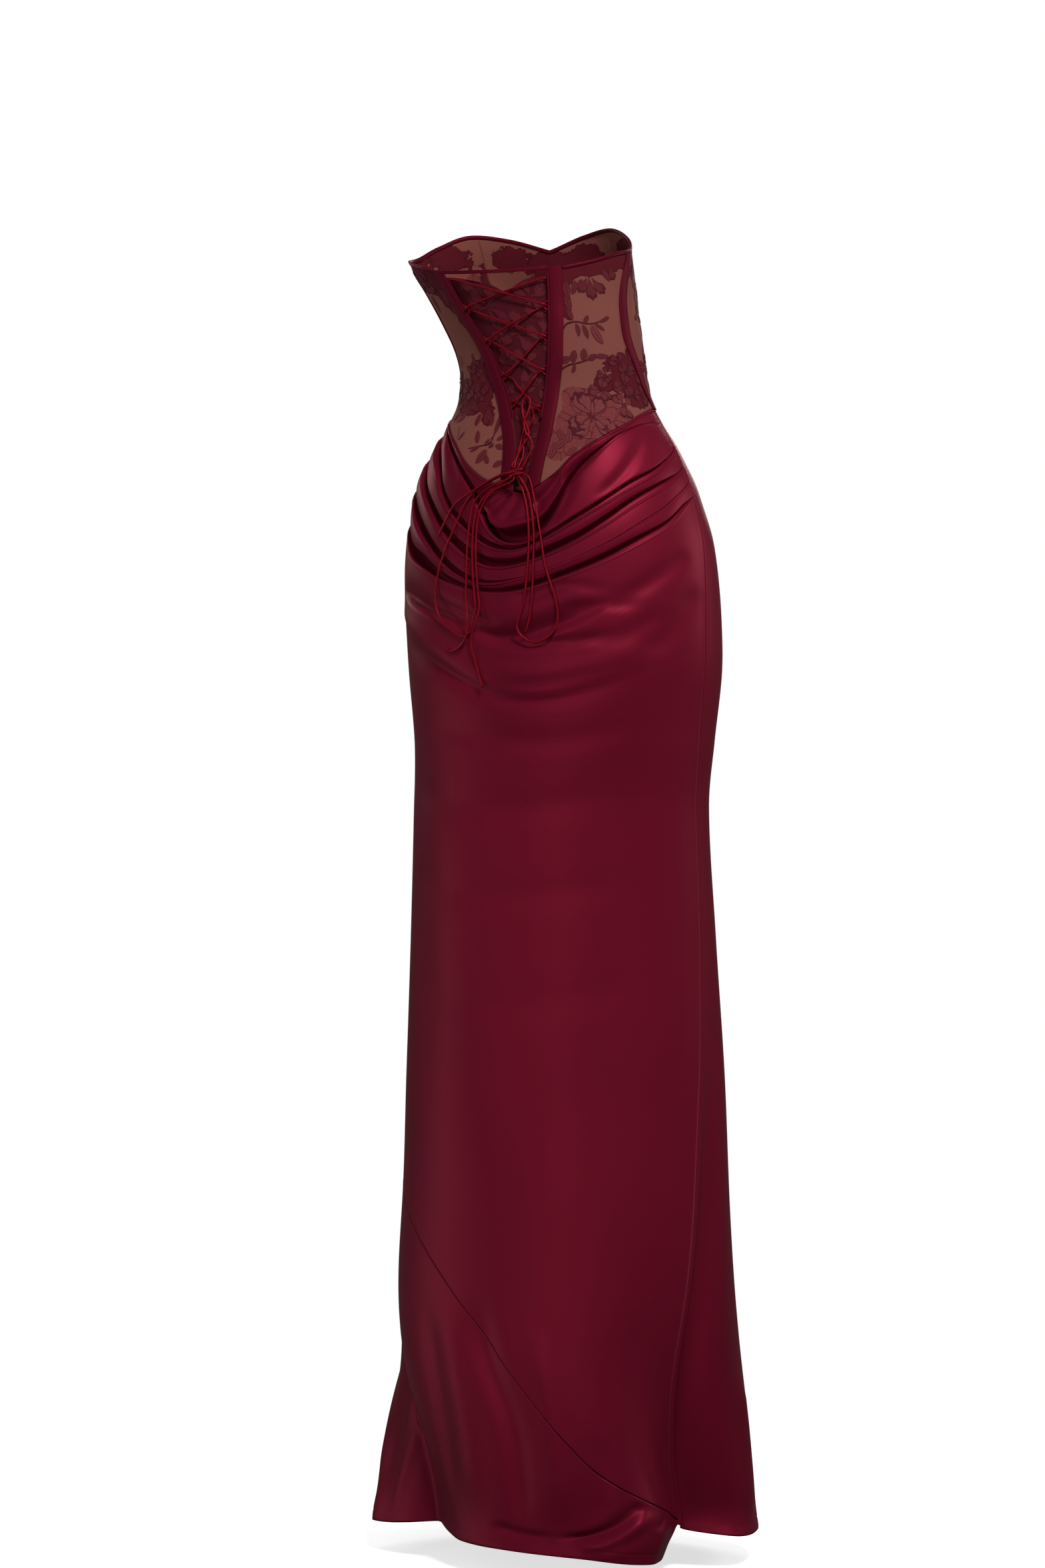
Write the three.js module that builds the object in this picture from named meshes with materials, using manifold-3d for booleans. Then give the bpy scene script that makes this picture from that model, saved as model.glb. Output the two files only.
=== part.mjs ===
// A strapless corset gown: a lace bodice laced up the back, over a satin skirt whose back
// hangs in cowl folds from the hips. Units are millimetres and +Z is up. The front of the
// garment faces -Y and its back +Y, and the origin is the centre of the waist.
//
// A place on the cloth is given by an angle round the body, 0 at the centre back and growing
// towards -X, a height above the waist, and a distance out from the garment's smooth form.

import * as THREE from 'three';
import { mergeVertices } from 'three/addons/utils/BufferGeometryUtils.js';
import Module from 'manifold-3d';

const SEAM_GAP = 0.3;
const LACE_WALL = 1.2;
const SATIN_WALL = 1.6;
const SIDE_COLUMNS = 12;
const LACE_ROWS = 9;
const PLAIN_ROWS = 10;
const LOWER_ROWS = 8;
const EASE = 1.6;
const FRONT_ROWS = 14;
const FRONT_EASE = 1.3;
const BINDING_DEPTH = 4.5;
const BINDING_OUT = 1.3;
const BINDING_WALL = 3.6;
const CASING_WIDTH = 14;
const SIDE_CASING_WIDTH = 12;
const FRONT_CASING_WIDTH = 10;
const CASING_WALL = 1.5;
const CASING_CROWN = 0.7;
const STRAP_DEPTH = 4.2;
const STRAP_SAG = 2.5;
const CORD = 2.2;
const CORD_SIDES = 8;
const CUP_RISE = 20;
const CUP_ANGLE = 33;
const CUP_HEIGHT = 105;
const CUP_SPREAD = { angle: 24, height: 48 };

// The smooth form, section by section: half the width, the depth behind and before the side
// seams, and how far the section is shifted sideways as the wearer leans.
const FORM = table('height halfWidth back front shift', [
  [-1262, 214, 160, 190, 0],
  [-1150, 204, 154, 170, 0],
  [-1040, 195, 149, 154, 0],
  [-895, 184.5, 138, 135, -3],
  [-750, 180, 127, 122, -2.5],
  [-600, 173, 120, 113, 0],
  [-460, 167.5, 119, 109, 2],
  [-388, 170, 123, 111, -2],
  [-315, 177, 128, 114, -3],
  [-260, 178.5, 129, 114, -1],
  [-207, 177.5, 126, 111, 2],
  [-170, 173.5, 121, 108, 4],
  [-134, 165, 114, 104, 7],
  [-112, 159, 109, 101, 9],
  [-91, 149, 104, 97, 9.5],
  [-69, 136.5, 98, 93, 9],
  [-47, 122, 92, 88, 9],
  [-25, 110.5, 86, 83, 9],
  [-4, 106, 82, 80, 10],
  [18, 104.3, 81, 81, 11.5],
  [40, 105.5, 80, 85, 16.5],
  [62, 109, 79, 90, 24],
  [83, 112.5, 78, 94, 32.5],
  [105, 118, 78, 96, 41],
  [127, 125, 78, 96, 49],
  [180, 131, 78, 98, 60],
]);

// The angles of the side seams, which swing to the back above the hem.
const SIDE_SEAMS = table('height left right', [
  [-1262, -39, 75],
  [-1231, -40, 74],
  [-1167, -48, 66],
  [-1111, -57, 62],
  [-1053, -68, 61],
  [-967, -78, 64],
  [-869, -83.6, 68],
  [-807, -84.5, 70],
  [-673, -84.5, 75],
  [-529, -84.5, 79.5],
  [-439, -84.5, 79.5],
  [-343, -84.5, 77],
  [-279, -84.8, 77.8],
  [-217, -85.8, 80],
  [-151, -88.2, 83.8],
  [-80, -92.4, 89.6],
  [-31, -96, 95],
  [-5, -88, 87],
  [43, -80, 74],
  [87, -82, 78],
  [150, -97, 96],
]);

// The princess seams of the front, either side of the centre front at 180 degrees.
const FRONT_SEAMS = table('height fromCentre', [
  [-100, 17],
  [-40, 19],
  [10, 23],
  [60, 29],
  [105, 33],
  [180, 36],
]);

// The edges of the laced opening.
const OPENING = table('height left right', [
  [-130, -1, 4.6],
  [-108, -1, 5.6],
  [-81, -1.4, 7.5],
  [-57, -3.5, 9.8],
  [-23, -10, 12.7],
  [7, -17.5, 15.2],
  [37, -24, 18.2],
  [67, -29.5, 22.5],
  [95, -32.5, 26.5],
  [130, -32.5, 29.5],
]);

const TOP_EDGE = table('angle height', [
  [-180, 158],
  [-160, 172],
  [-140, 176],
  [-120, 162],
  [-99, 146],
  [-73, 138],
  [-48, 127],
  [-33, 120],
  [0, 117],
  [31, 119],
  [51, 126],
  [75, 137],
  [99, 145],
  [120, 162],
  [140, 176],
  [160, 172],
  [180, 158],
]);

// The pointed lower edge of the lace, where the satin starts.
const BASQUE_EDGE = table('angle height', [
  [-180, -92],
  [-150, -72],
  [-120, -44],
  [-95, -33],
  [-78, -37],
  [-60, -46],
  [-39, -67],
  [-23, -95],
  [-12, -112],
  [3, -126],
  [9, -118],
  [16, -105],
  [24, -86],
  [40, -65],
  [56, -51],
  [72, -39],
  [95, -31],
  [120, -42],
  [150, -72],
  [180, -92],
]);

const MODESTY_TOP = table('angle height', [
  [-38, 114],
  [-28, 112],
  [-7, 102],
  [0, 94],
  [5, 98],
  [15, 107],
  [34, 113],
]);

// The lips of the cowl folds, from the hips down: how deep the cloth tucks in above each lip
// at the left, centre and right, and the lip's height at each of FOLD_ANGLES.
const FOLD_ANGLES = [-96, -72, -58, -44, -32, -20, -10, 0, 10, 22, 34, 48, 62, 76, 96];
const FOLDS = [
  { depth: [5, 16, 3], lip: [-38, -43, -51, -72, -92, -123, -168, -180, -167, -118, -88, -66, -55, -49, -43] },
  { depth: [9, 4, 7], lip: [-52, -58, -76, -99, -138, -165, -183, -187, -176, -157, -139, -119, -104, -88, -68] },
  { depth: [9, 9, 8], lip: [-72, -86, -108, -140, -169, -192, -204, -203, -194, -179, -160, -138, -121, -107, -86] },
  { depth: [9, 0, 0], lip: [-104, -122, -149, -175, -199, -217, -222, -218, -210, -196, -180, -159, -141, -123, -102] },
  { depth: [9, 12, 7], lip: [-140, -160, -188, -204, -217, -227, -232, -231, -223, -211, -197, -178, -160, -138, -118] },
];
const FOLD_DEPTH_ANGLES = [-96, -58, 0, 48, 96];
const FOLD_DEPTH_AT_SEAM = 1.5;
const LIP_PROUD = 0.3;
const TUCK_HEIGHT = 3.2;

// Soft troughs below the folds: each sags from its two ends to a low point.
const TROUGHS = [
  { depth: 5, reach: [12, 14], start: [-70, -232], low: [-9, -279], end: [34, -230] },
  { depth: 4, reach: [9, 11], start: [-80, -268], low: [0, -345], end: [56, -309] },
];
const TROUGH_FADE = 16;
const TROUGHS_END = -372;

// The diagonal seam across the lower back.
const DIAGONAL = table('angle height', [
  [-92, -828],
  [-75, -862],
  [-61, -887],
  [-36, -941],
  [-15, -1001],
  [6, -1079],
  [18, -1125],
  [28, -1159],
  [42, -1187],
  [58, -1208],
  [76, -1225],
]);

// How far the hem stands out from the form, and its height, across the back panel from the
// left seam to the right one, and across the front from the right seam round to the left.
const BACK_HEM = table('across out height', [
  [0, -46, -1231],
  [0.09, -36, -1238],
  [0.17, -27, -1243],
  [0.37, -11, -1245],
  [0.57, 3, -1248],
  [0.7, 12, -1253],
  [0.79, 0, -1256],
  [0.85, -22, -1255],
  [0.935, -48, -1240],
  [1, -56, -1226],
]);
const FRONT_HEM = table('across out height', [
  [0, -56, -1225],
  [0.033, -40, -1233],
  [0.082, -8, -1240],
  [0.143, 2, -1241],
  [0.265, 8, -1241],
  [0.36, -5, -1240],
  [0.43, 6, -1240],
  [0.51, -7, -1240],
  [0.6, 7, -1241],
  [0.7, -3, -1242],
  [0.857, 4, -1242],
  [0.89, -12, -1241],
  [0.933, -29, -1237],
  [0.97, -44, -1233],
  [1, -46, -1231],
]);
const FLARE_START = -880;
const FLARE_END = -1231;

// Lacing loops: their heights on each edge, and the tape that they are sewn into.
const LOOP_HEIGHTS = { left: [77, 41, 3, -27], right: [77, 43, 7, -33] };
const LOOP_TAPE = { width: 2.4, out: 1.2, wall: 2.4, top: 112, bottom: -44 };
const LOOP_CORD = 1.6;
const LOOP_REACH = 4.8;
const MODESTY_OUT = { under: -2.1, open: -4.8 };
const MODESTY_SLOPE = 11;

const KNOT = { angle: 1, height: -104, out: 5.8, radius: [6.5, 3.4, 4.2] };

const LACE = { color: 0x6a2530, roughness: 0.75, metalness: 0 };
const DENSE_LACE = { color: 0x5a1522, roughness: 0.75, metalness: 0 };
const SATIN = { color: 0x6b0f22, roughness: 0.35, metalness: 0 };
const TRIM = { color: 0x5c0c1c, roughness: 0.45, metalness: 0 };
const CORD_SATIN = { color: 0x8f1a2c, roughness: 0.4, metalness: 0 };

const wasm = await Module();
wasm.setup();

const { degToRad, lerp, clamp, smoothstep } = THREE.MathUtils;

function table(columns, rows) {
  const names = columns.split(' ');
  return Object.fromEntries(names.map((name, i) => [name, rows.map((row) => row[i])]));
}

// A smooth curve through the points (xs, ys): cubic pieces whose slope at each point is that
// of the line between its two neighbours. Beyond its ends it stays level.
function smooth(xs, ys, x) {
  const last = xs.length - 1;
  const at = clamp(x, xs[0], xs[last]);
  let i = 0;
  while (i < last - 1 && at > xs[i + 1]) {
    i += 1;
  }
  const slope = (k) => {
    const a = Math.max(k - 1, 0);
    const b = Math.min(k + 1, last);
    return (ys[b] - ys[a]) / (xs[b] - xs[a]);
  };
  const step = xs[i + 1] - xs[i];
  const s = (at - xs[i]) / step;
  const blend = s * s * (3 - 2 * s);
  const start = s * (1 - s) * (1 - s) * step * slope(i);
  const finish = s * s * (1 - s) * step * slope(i + 1);
  return lerp(ys[i], ys[i + 1], blend) + start - finish;
}

function wrap(angle) {
  return angle > 180 ? angle - 360 : angle;
}

function form(angle, height, out = 0) {
  const turn = degToRad(angle);
  const side = Math.cos(turn) > 0 ? FORM.back : FORM.front;
  const halfWidth = smooth(FORM.height, FORM.halfWidth, height) + out;
  const depth = smooth(FORM.height, side, height) + out;
  const shift = smooth(FORM.height, FORM.shift, height);
  return new THREE.Vector3(shift - halfWidth * Math.sin(turn), depth * Math.cos(turn), height);
}

const leftSeam = (height) => smooth(SIDE_SEAMS.height, SIDE_SEAMS.left, height);
const rightSeam = (height) => smooth(SIDE_SEAMS.height, SIDE_SEAMS.right, height);
const leftFront = (height) => 180 + smooth(FRONT_SEAMS.height, FRONT_SEAMS.fromCentre, height);
const rightFront = (height) => 180 - smooth(FRONT_SEAMS.height, FRONT_SEAMS.fromCentre, height);
const leftSeamRound = (height) => 360 + leftSeam(height);
const leftOpening = (height) => smooth(OPENING.height, OPENING.left, height);
const rightOpening = (height) => smooth(OPENING.height, OPENING.right, height);
const topEdge = (angle) => smooth(TOP_EDGE.angle, TOP_EDGE.height, wrap(angle));
const basqueEdge = (angle) => smooth(BASQUE_EDGE.angle, BASQUE_EDGE.height, wrap(angle));
const laceEdges = {
  bottom: (angle) => basqueEdge(angle) + SEAM_GAP / 2,
  top: (angle) => topEdge(angle) - BINDING_DEPTH - 2 * SEAM_GAP,
};
const diagonal = (angle) => smooth(DIAGONAL.angle, DIAGONAL.height, angle);

function millimetresPerDegree(angle, height) {
  return form(angle + 0.5, height).distanceTo(form(angle - 0.5, height));
}

// The bust shaping of the front panels.
function cups(angle, height) {
  const fromCup = (Math.abs(wrap(angle + 180)) - CUP_ANGLE) / CUP_SPREAD.angle;
  const above = (height - CUP_HEIGHT) / CUP_SPREAD.height;
  return CUP_RISE * Math.exp(-fromCup * fromCup - above * above);
}

function onCloth([angle, height, out]) {
  return form(angle, height, out + cups(angle, height));
}

// The angle q millimetres round the body from a seam, at one height.
function beside(seam, height, q) {
  return seam(height) + q / millimetresPerDegree(seam(height), height);
}

// The flare of the skirt towards its hem, and the valleys in which the side seams lie.
function flare(angle, height) {
  const left = leftSeam(height);
  const right = rightSeam(height);
  const growth = smoothstep(-height, -FLARE_START, -FLARE_END) ** 1.5;
  const behind = angle < right;
  const across = behind ? (angle - left) / (right - left) : (angle - right) / (360 + left - right);
  const hem = behind ? BACK_HEM : FRONT_HEM;
  return growth * smooth(hem.across, hem.out, across);
}

function backHem(angle) {
  const left = leftSeam(FLARE_END);
  const right = rightSeam(FLARE_END);
  return smooth(BACK_HEM.across, BACK_HEM.height, (angle - left) / (right - left));
}

function frontHem(angle) {
  const left = leftSeamRound(FLARE_END);
  const right = rightSeam(FLARE_END);
  return smooth(FRONT_HEM.across, FRONT_HEM.height, (angle - right) / (left - right));
}

// A soft trough's own height at an angle, and its depth there.
function troughAt({ depth, start, low, end }, angle) {
  const far = angle < low[0] ? start : end;
  const away = Math.min((angle - low[0]) / (far[0] - low[0]), 1.4);
  const fade = smoothstep(angle, start[0], start[0] + TROUGH_FADE)
    * (1 - smoothstep(angle, end[0] - TROUGH_FADE, end[0]));
  return [lerp(low[1], far[1], away ** 1.7), depth * fade];
}

function lipHeight(fold, angle) {
  return smooth(FOLD_ANGLES, fold.lip, angle);
}

function foldDepth(fold, angle) {
  const depths = [FOLD_DEPTH_AT_SEAM, ...fold.depth, FOLD_DEPTH_AT_SEAM];
  return Math.max(smooth(FOLD_DEPTH_ANGLES, depths, angle), 0);
}

// The rows of one fold at an angle, as [height, out]: the cloth falls in from the lip above,
// tucks in to the fold's depth, and rolls out again over the fold's own lip.
function foldRows(index, angle) {
  const lip = lipHeight(FOLDS[index], angle);
  const above = index > 0 ? lipHeight(FOLDS[index - 1], angle) : basqueEdge(angle);
  const gap = above - lip;
  const tuck = Math.min(TUCK_HEIGHT, 0.32 * gap);
  const depth = Math.min(foldDepth(FOLDS[index], angle), 0.6 * gap);
  return {
    fall: [
      [lip + 0.82 * gap, 0],
      [lip + 0.6 * gap, -0.22 * depth],
      [lip + tuck + 0.14 * gap, -0.85 * depth],
      [lip + tuck, -depth],
    ],
    roll: [
      [lip + 0.4 * tuck, -0.3 * depth],
      [lip, LIP_PROUD],
    ],
  };
}

// The satin strip between the lace and the first fold bulges over the hollow that it hides.
function hipBandRows(angle) {
  const { fall } = foldRows(0, angle);
  const start = basqueEdge(angle);
  return [[start - SEAM_GAP, 0], [lerp(start, fall[0][0], 0.5), 0.2], ...fall];
}

// Rows that lie closer together towards the hem.
function eased(k) {
  return 1 - (1 - k / PLAIN_ROWS) ** EASE;
}

function skirtBackRows(angle) {
  const rows = [];
  FOLDS.forEach((_, index) => {
    const { fall, roll } = foldRows(index, angle);
    const own = index > 0 ? fall : [[fall[3][0] - SEAM_GAP, fall[3][1]]];
    rows.push(...own, ...roll);
  });
  TROUGHS.forEach((trough) => {
    const [height, depth] = troughAt(trough, angle);
    rows.push([height + trough.reach[0], 0]);
    rows.push([height + 0.4 * trough.reach[0], -0.6 * depth]);
    rows.push([height, -depth]);
    rows.push([height - trough.reach[1], 0]);
  });
  const bottom = diagonal(angle) + SEAM_GAP / 2;
  for (let k = 0; k <= PLAIN_ROWS; k += 1) {
    const height = lerp(TROUGHS_END, bottom, eased(k));
    rows.push([height, flare(angle, height)]);
  }
  return rows.reverse();
}

// Triangles between two neighbouring columns of points, which may differ in their number: the
// next triangle climbs on the side whose next point is the lower one.
function stitch(a, b, triangle) {
  const even = a.length === b.length;
  let i = 0;
  let j = 0;
  while (i < a.length - 1 || j < b.length - 1) {
    const climbs = even ? i <= j : i < a.length - 1 && (j === b.length - 1 || a[i + 1].z <= b[j + 1].z);
    if (climbs) {
      triangle([0, i], [1, j], [0, i + 1]);
      i += 1;
    } else {
      triangle([0, i], [1, j], [1, j + 1]);
      j += 1;
    }
  }
}

// A closed wall between an outer and an inner sheet of columns of points. The columns run up
// the body and follow one another round it.
function wallBetween(outer, inner) {
  const positions = [];
  const indices = [];
  const first = { outer: [], inner: [] };
  [['outer', outer], ['inner', inner]].forEach(([side, columns]) => columns.forEach((column) => {
    first[side].push(positions.length / 3);
    column.forEach((point) => positions.push(...point.toArray()));
  }));
  const last = outer.length - 1;
  const out = (i, j) => first.outer[i] + j;
  const back = (i, j) => first.inner[i] + j;
  const quad = (a, b, c, d) => indices.push(a, b, c, a, c, d);
  for (let i = 0; i < last; i += 1) {
    stitch(outer[i], outer[i + 1], (...corners) => {
      indices.push(...corners.map(([step, j]) => out(i + step, j)));
      indices.push(...corners.map(([step, j]) => back(i + step, j)).reverse());
    });
    const top = outer[i].length - 1;
    const nextTop = outer[i + 1].length - 1;
    quad(out(i + 1, 0), out(i, 0), back(i, 0), back(i + 1, 0));
    quad(out(i, top), out(i + 1, nextTop), back(i + 1, nextTop), back(i, top));
  }
  outer[0].slice(1).forEach((_, j) => quad(out(0, j), out(0, j + 1), back(0, j + 1), back(0, j)));
  outer[last].slice(1).forEach((_, j) => {
    quad(out(last, j + 1), out(last, j), back(last, j), back(last, j + 1));
  });
  const geometry = new THREE.BufferGeometry();
  geometry.setAttribute('position', new THREE.Float32BufferAttribute(positions, 3));
  geometry.setIndex(indices);
  return geometry;
}

function grid(columns, rows, point) {
  return Array.from({ length: columns + 1 }, (_, i) => (
    Array.from({ length: rows + 1 }, (__, j) => point(i / columns, j / rows, j))
  ));
}

// A satin wall on places [angle, height, out]. Its inner points lie in along the cloth's own
// normal, and straight in along its edges, where a neighbour does the same.
function satinWall(places) {
  const outer = places.map((column) => column.map(onCloth));
  const last = outer.length - 1;
  const inner = outer.map((column, i) => column.map((point, j) => {
    const [angle, height, out] = places[i][j];
    const direction = onCloth([angle, height, out + 1]).sub(point).normalize();
    if (i > 0 && i < last && j > 0 && j < column.length - 1) {
      const ahead = i + 1 < last ? outer[i + 1][j] : point;
      const behind = i > 1 ? outer[i - 1][j] : point;
      const round = ahead.clone().sub(behind);
      const up = column[j + 1].clone().sub(column[j - 1]);
      direction.add(round.cross(up).normalize()).normalize();
    }
    return point.clone().addScaledVector(direction, -SATIN_WALL);
  }));
  return wallBetween(outer, inner);
}

// A panel between two seams and two edges, each seam an angle at a height and each edge a
// height at an angle. A place in it is found by settling its angle and height in turn.
function panelPlace({ left, right, bottom, top }, u, v) {
  let height = 0;
  let angle = 0;
  for (let k = 0; k < 12; k += 1) {
    angle = lerp(left(height), right(height), u);
    height = lerp(bottom(angle), top(angle), v);
  }
  const inset = SEAM_GAP / 2 / millimetresPerDegree(angle, height);
  return [angle + inset * (1 - 2 * u), height];
}

function lacePanel(bounds, columns) {
  const sheet = (out) => grid(columns, LACE_ROWS, (u, v) => onCloth([...panelPlace(bounds, u, v), out]));
  return wallBetween(sheet(0), sheet(-LACE_WALL));
}

// A casing sewn over a seam, q = from to q = to either side of it, on the rows of the lace
// panels that it joins. A back casing runs one row further, up to the top edge.
function casing(seam, from, to, overTop) {
  const bounds = {
    left: (height) => beside(seam, height, from),
    right: (height) => beside(seam, height, to),
    bottom: laceEdges.bottom,
    top: laceEdges.top,
  };
  const sheet = (lift, crown) => grid(3, LACE_ROWS + (overTop ? 1 : 0), (u, _, j) => {
    const out = lift + crown * Math.sin(Math.PI * u);
    const [angle, height] = panelPlace(bounds, u, Math.min(j / LACE_ROWS, 1));
    if (j <= LACE_ROWS) {
      return onCloth([angle, height, out]);
    }
    const top = topEdge(angle) + 0.5;
    return onCloth([lerp(bounds.left(top), bounds.right(top), u), top, out]);
  });
  return wallBetween(sheet(SEAM_GAP + CASING_WALL, CASING_CROWN), sheet(SEAM_GAP, 0));
}

// The height where a seam meets an edge, and its angle there.
function meeting(seam, edge) {
  let height = 0;
  for (let k = 0; k < 12; k += 1) {
    height = edge(seam(height));
  }
  return height;
}

const meetingAngle = (seam, edge) => seam(meeting(seam, edge));

function binding(from, to, columns) {
  const sheet = (out) => grid(columns, 1, (u, v) => {
    const angle = lerp(from, to, u);
    return onCloth([angle, topEdge(angle) - BINDING_DEPTH * (1 - v), out]);
  });
  return wallBetween(sheet(BINDING_OUT), sheet(BINDING_OUT - BINDING_WALL));
}

// The thin strap that joins the two edges of the opening at the top.
function strap() {
  const middle = (angle) => topEdge(0) + 1 - STRAP_SAG * Math.cos(degToRad(angle * 3));
  const bounds = {
    left: (height) => beside(leftOpening, height, SEAM_GAP),
    right: (height) => beside(rightOpening, height, -SEAM_GAP),
    bottom: (angle) => middle(angle) - STRAP_DEPTH / 2,
    top: (angle) => middle(angle) + STRAP_DEPTH / 2,
  };
  const sheet = (out) => grid(10, 1, (u, v) => onCloth([...panelPlace(bounds, u, v), out]));
  return wallBetween(sheet(1.8), sheet(0.5));
}

// The modesty panel lies under the edges of the opening and sinks clear of the lacing.
function modestyPanel() {
  const columns = [
    ...[-15, -9, -4].map((q) => ({ at: (height) => beside(leftOpening, height, q), q })),
    ...[0, 1, 2, 3, 4, 5, 6].map((k) => (
      { at: (height) => lerp(leftOpening(height), rightOpening(height), k / 6), q: 0 })),
    ...[4, 9, 15].map((q) => ({ at: (height) => beside(rightOpening, height, q), q })),
  ];
  const sheet = (deeper) => columns.map(({ at, q }) => {
    const out = lerp(MODESTY_OUT.open, MODESTY_OUT.under, smoothstep(Math.abs(q), 0, MODESTY_SLOPE));
    const bounds = {
      left: at,
      right: at,
      bottom: (angle) => basqueEdge(angle) + 2,
      top: (angle) => smooth(MODESTY_TOP.angle, MODESTY_TOP.height, angle),
    };
    return Array.from({ length: LACE_ROWS + 1 }, (_, j) => (
      onCloth([...panelPlace(bounds, 0.5, j / LACE_ROWS), out - deeper])
    ));
  });
  return wallBetween(sheet(0), sheet(LACE_WALL));
}

function solidOf(geometry) {
  const bare = geometry.clone();
  bare.deleteAttribute('normal');
  bare.deleteAttribute('uv');
  const merged = mergeVertices(bare, 1e-4);
  return new wasm.Manifold(new wasm.Mesh({
    numProp: 3,
    vertProperties: new Float32Array(merged.attributes.position.array),
    triVerts: new Uint32Array(merged.index.array),
  }));
}

function geometryOf(solid) {
  const mesh = solid.getMesh();
  const geometry = new THREE.BufferGeometry();
  geometry.setAttribute('position', new THREE.BufferAttribute(mesh.vertProperties, 3));
  geometry.setIndex(new THREE.BufferAttribute(mesh.triVerts, 1));
  return geometry;
}

// A tube whose rings stand at the points of its route, with more of them where it turns.
function cord(points, diameter, steps = 1) {
  const curve = new THREE.CatmullRomCurve3(points, false, 'centripetal');
  curve.getUtoTmapping = (u) => u;
  const ring = Array.from({ length: CORD_SIDES }, (_, i) => {
    const turn = (i / CORD_SIDES) * 2 * Math.PI;
    return new THREE.Vector2(Math.cos(turn), Math.sin(turn)).multiplyScalar(diameter / 2);
  });
  return new THREE.ExtrudeGeometry(new THREE.Shape(ring), {
    steps: steps * (points.length - 1),
    bevelEnabled: false,
    extrudePath: curve,
  });
}

// A tape with half-round loops of thin cord fused into its edge. The side is 1 where the
// opening lies at growing angles and -1 where it lies at falling ones.
function loopTape(opening, heights, side) {
  const sheet = (out) => grid(1, 12, (u, v) => {
    const height = lerp(LOOP_TAPE.bottom, LOOP_TAPE.top, v);
    const across = side > 0 ? u : 1 - u;
    return onCloth([beside(opening, height, side * (SEAM_GAP + across * LOOP_TAPE.width)), height, out]);
  });
  const tape = wallBetween(sheet(LOOP_TAPE.out), sheet(LOOP_TAPE.out - LOOP_TAPE.wall));
  const root = SEAM_GAP + LOOP_TAPE.width - LOOP_CORD / 2;
  return geometryOf(heights.reduce((solid, middle) => {
    const loop = Array.from({ length: 7 }, (_, i) => {
      const turn = Math.PI * (i / 6 - 0.5);
      const height = middle + LOOP_REACH * Math.sin(turn);
      return onCloth([beside(opening, height, side * (root + LOOP_REACH * Math.cos(turn))), height, 0]);
    });
    return solid.add(solidOf(cord(loop, LOOP_CORD)));
  }, solidOf(tape)));
}

// The cord's turn through a loop: over its bend, down through its eye and back under it.
function loopTurn(opening, middle, side) {
  const bend = SEAM_GAP + LOOP_TAPE.width - LOOP_CORD / 2 + LOOP_REACH;
  const clear = LOOP_CORD / 2 + CORD / 2 + 1.8 * SEAM_GAP;
  const at = (q, rise, out) => [beside(opening, middle + rise, side * q), middle + rise, out];
  return [
    at(bend + 6, 3.2, clear + 0.2),
    at(bend + 0.3, 1.2, clear + 0.2),
    at(bend - clear * 0.8, 0.4, clear * 0.7),
    at(bend - clear - 0.1, 0, 0),
    at(bend - clear * 0.8, -0.4, -clear * 0.7),
    at(bend + 0.3, -1.2, -clear - 0.2),
    at(bend + 6, -3.2, -clear),
  ];
}

// One run of lacing, from its sewn end through the loops on alternate sides to the knot. It
// follows the body across the opening, and at the middle lies over or under the other run.
function lacing({ start, firstSide, crossingOut, tail }) {
  const places = [...start];
  for (let row = 0; row < 4; row += 1) {
    const left = (row % 2 === 0) === (firstSide === 'left');
    const opening = left ? leftOpening : rightOpening;
    const middle = left ? LOOP_HEIGHTS.left[row] : LOOP_HEIGHTS.right[row];
    const turn = loopTurn(opening, middle, left ? 1 : -1);
    const before = places.at(-1);
    [0.25, 0.5, 0.75].forEach((s) => {
      const out = lerp(lerp(before[2], turn[0][2], s), crossingOut, Math.sin(Math.PI * s));
      places.push([lerp(before[0], turn[0][0], s), lerp(before[1], turn[0][1], s), out]);
    });
    places.push(...turn);
  }
  return toKnot([...places, ...tail]);
}

const knotCentre = onCloth([KNOT.angle, KNOT.height, KNOT.out]);

// The point just off the knot's surface on the way to another point.
function offKnot(towards) {
  const away = towards.clone().sub(knotCentre);
  const [rx, ry, rz] = KNOT.radius;
  const reach = 1 / Math.hypot(away.x / rx, away.y / ry, away.z / rz);
  return knotCentre.clone().addScaledVector(away, reach).addScaledVector(away.normalize(), SEAM_GAP);
}

function knot() {
  const ball = new THREE.SphereGeometry(1, 16, 9);
  ball.scale(...KNOT.radius);
  return ball;
}

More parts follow.
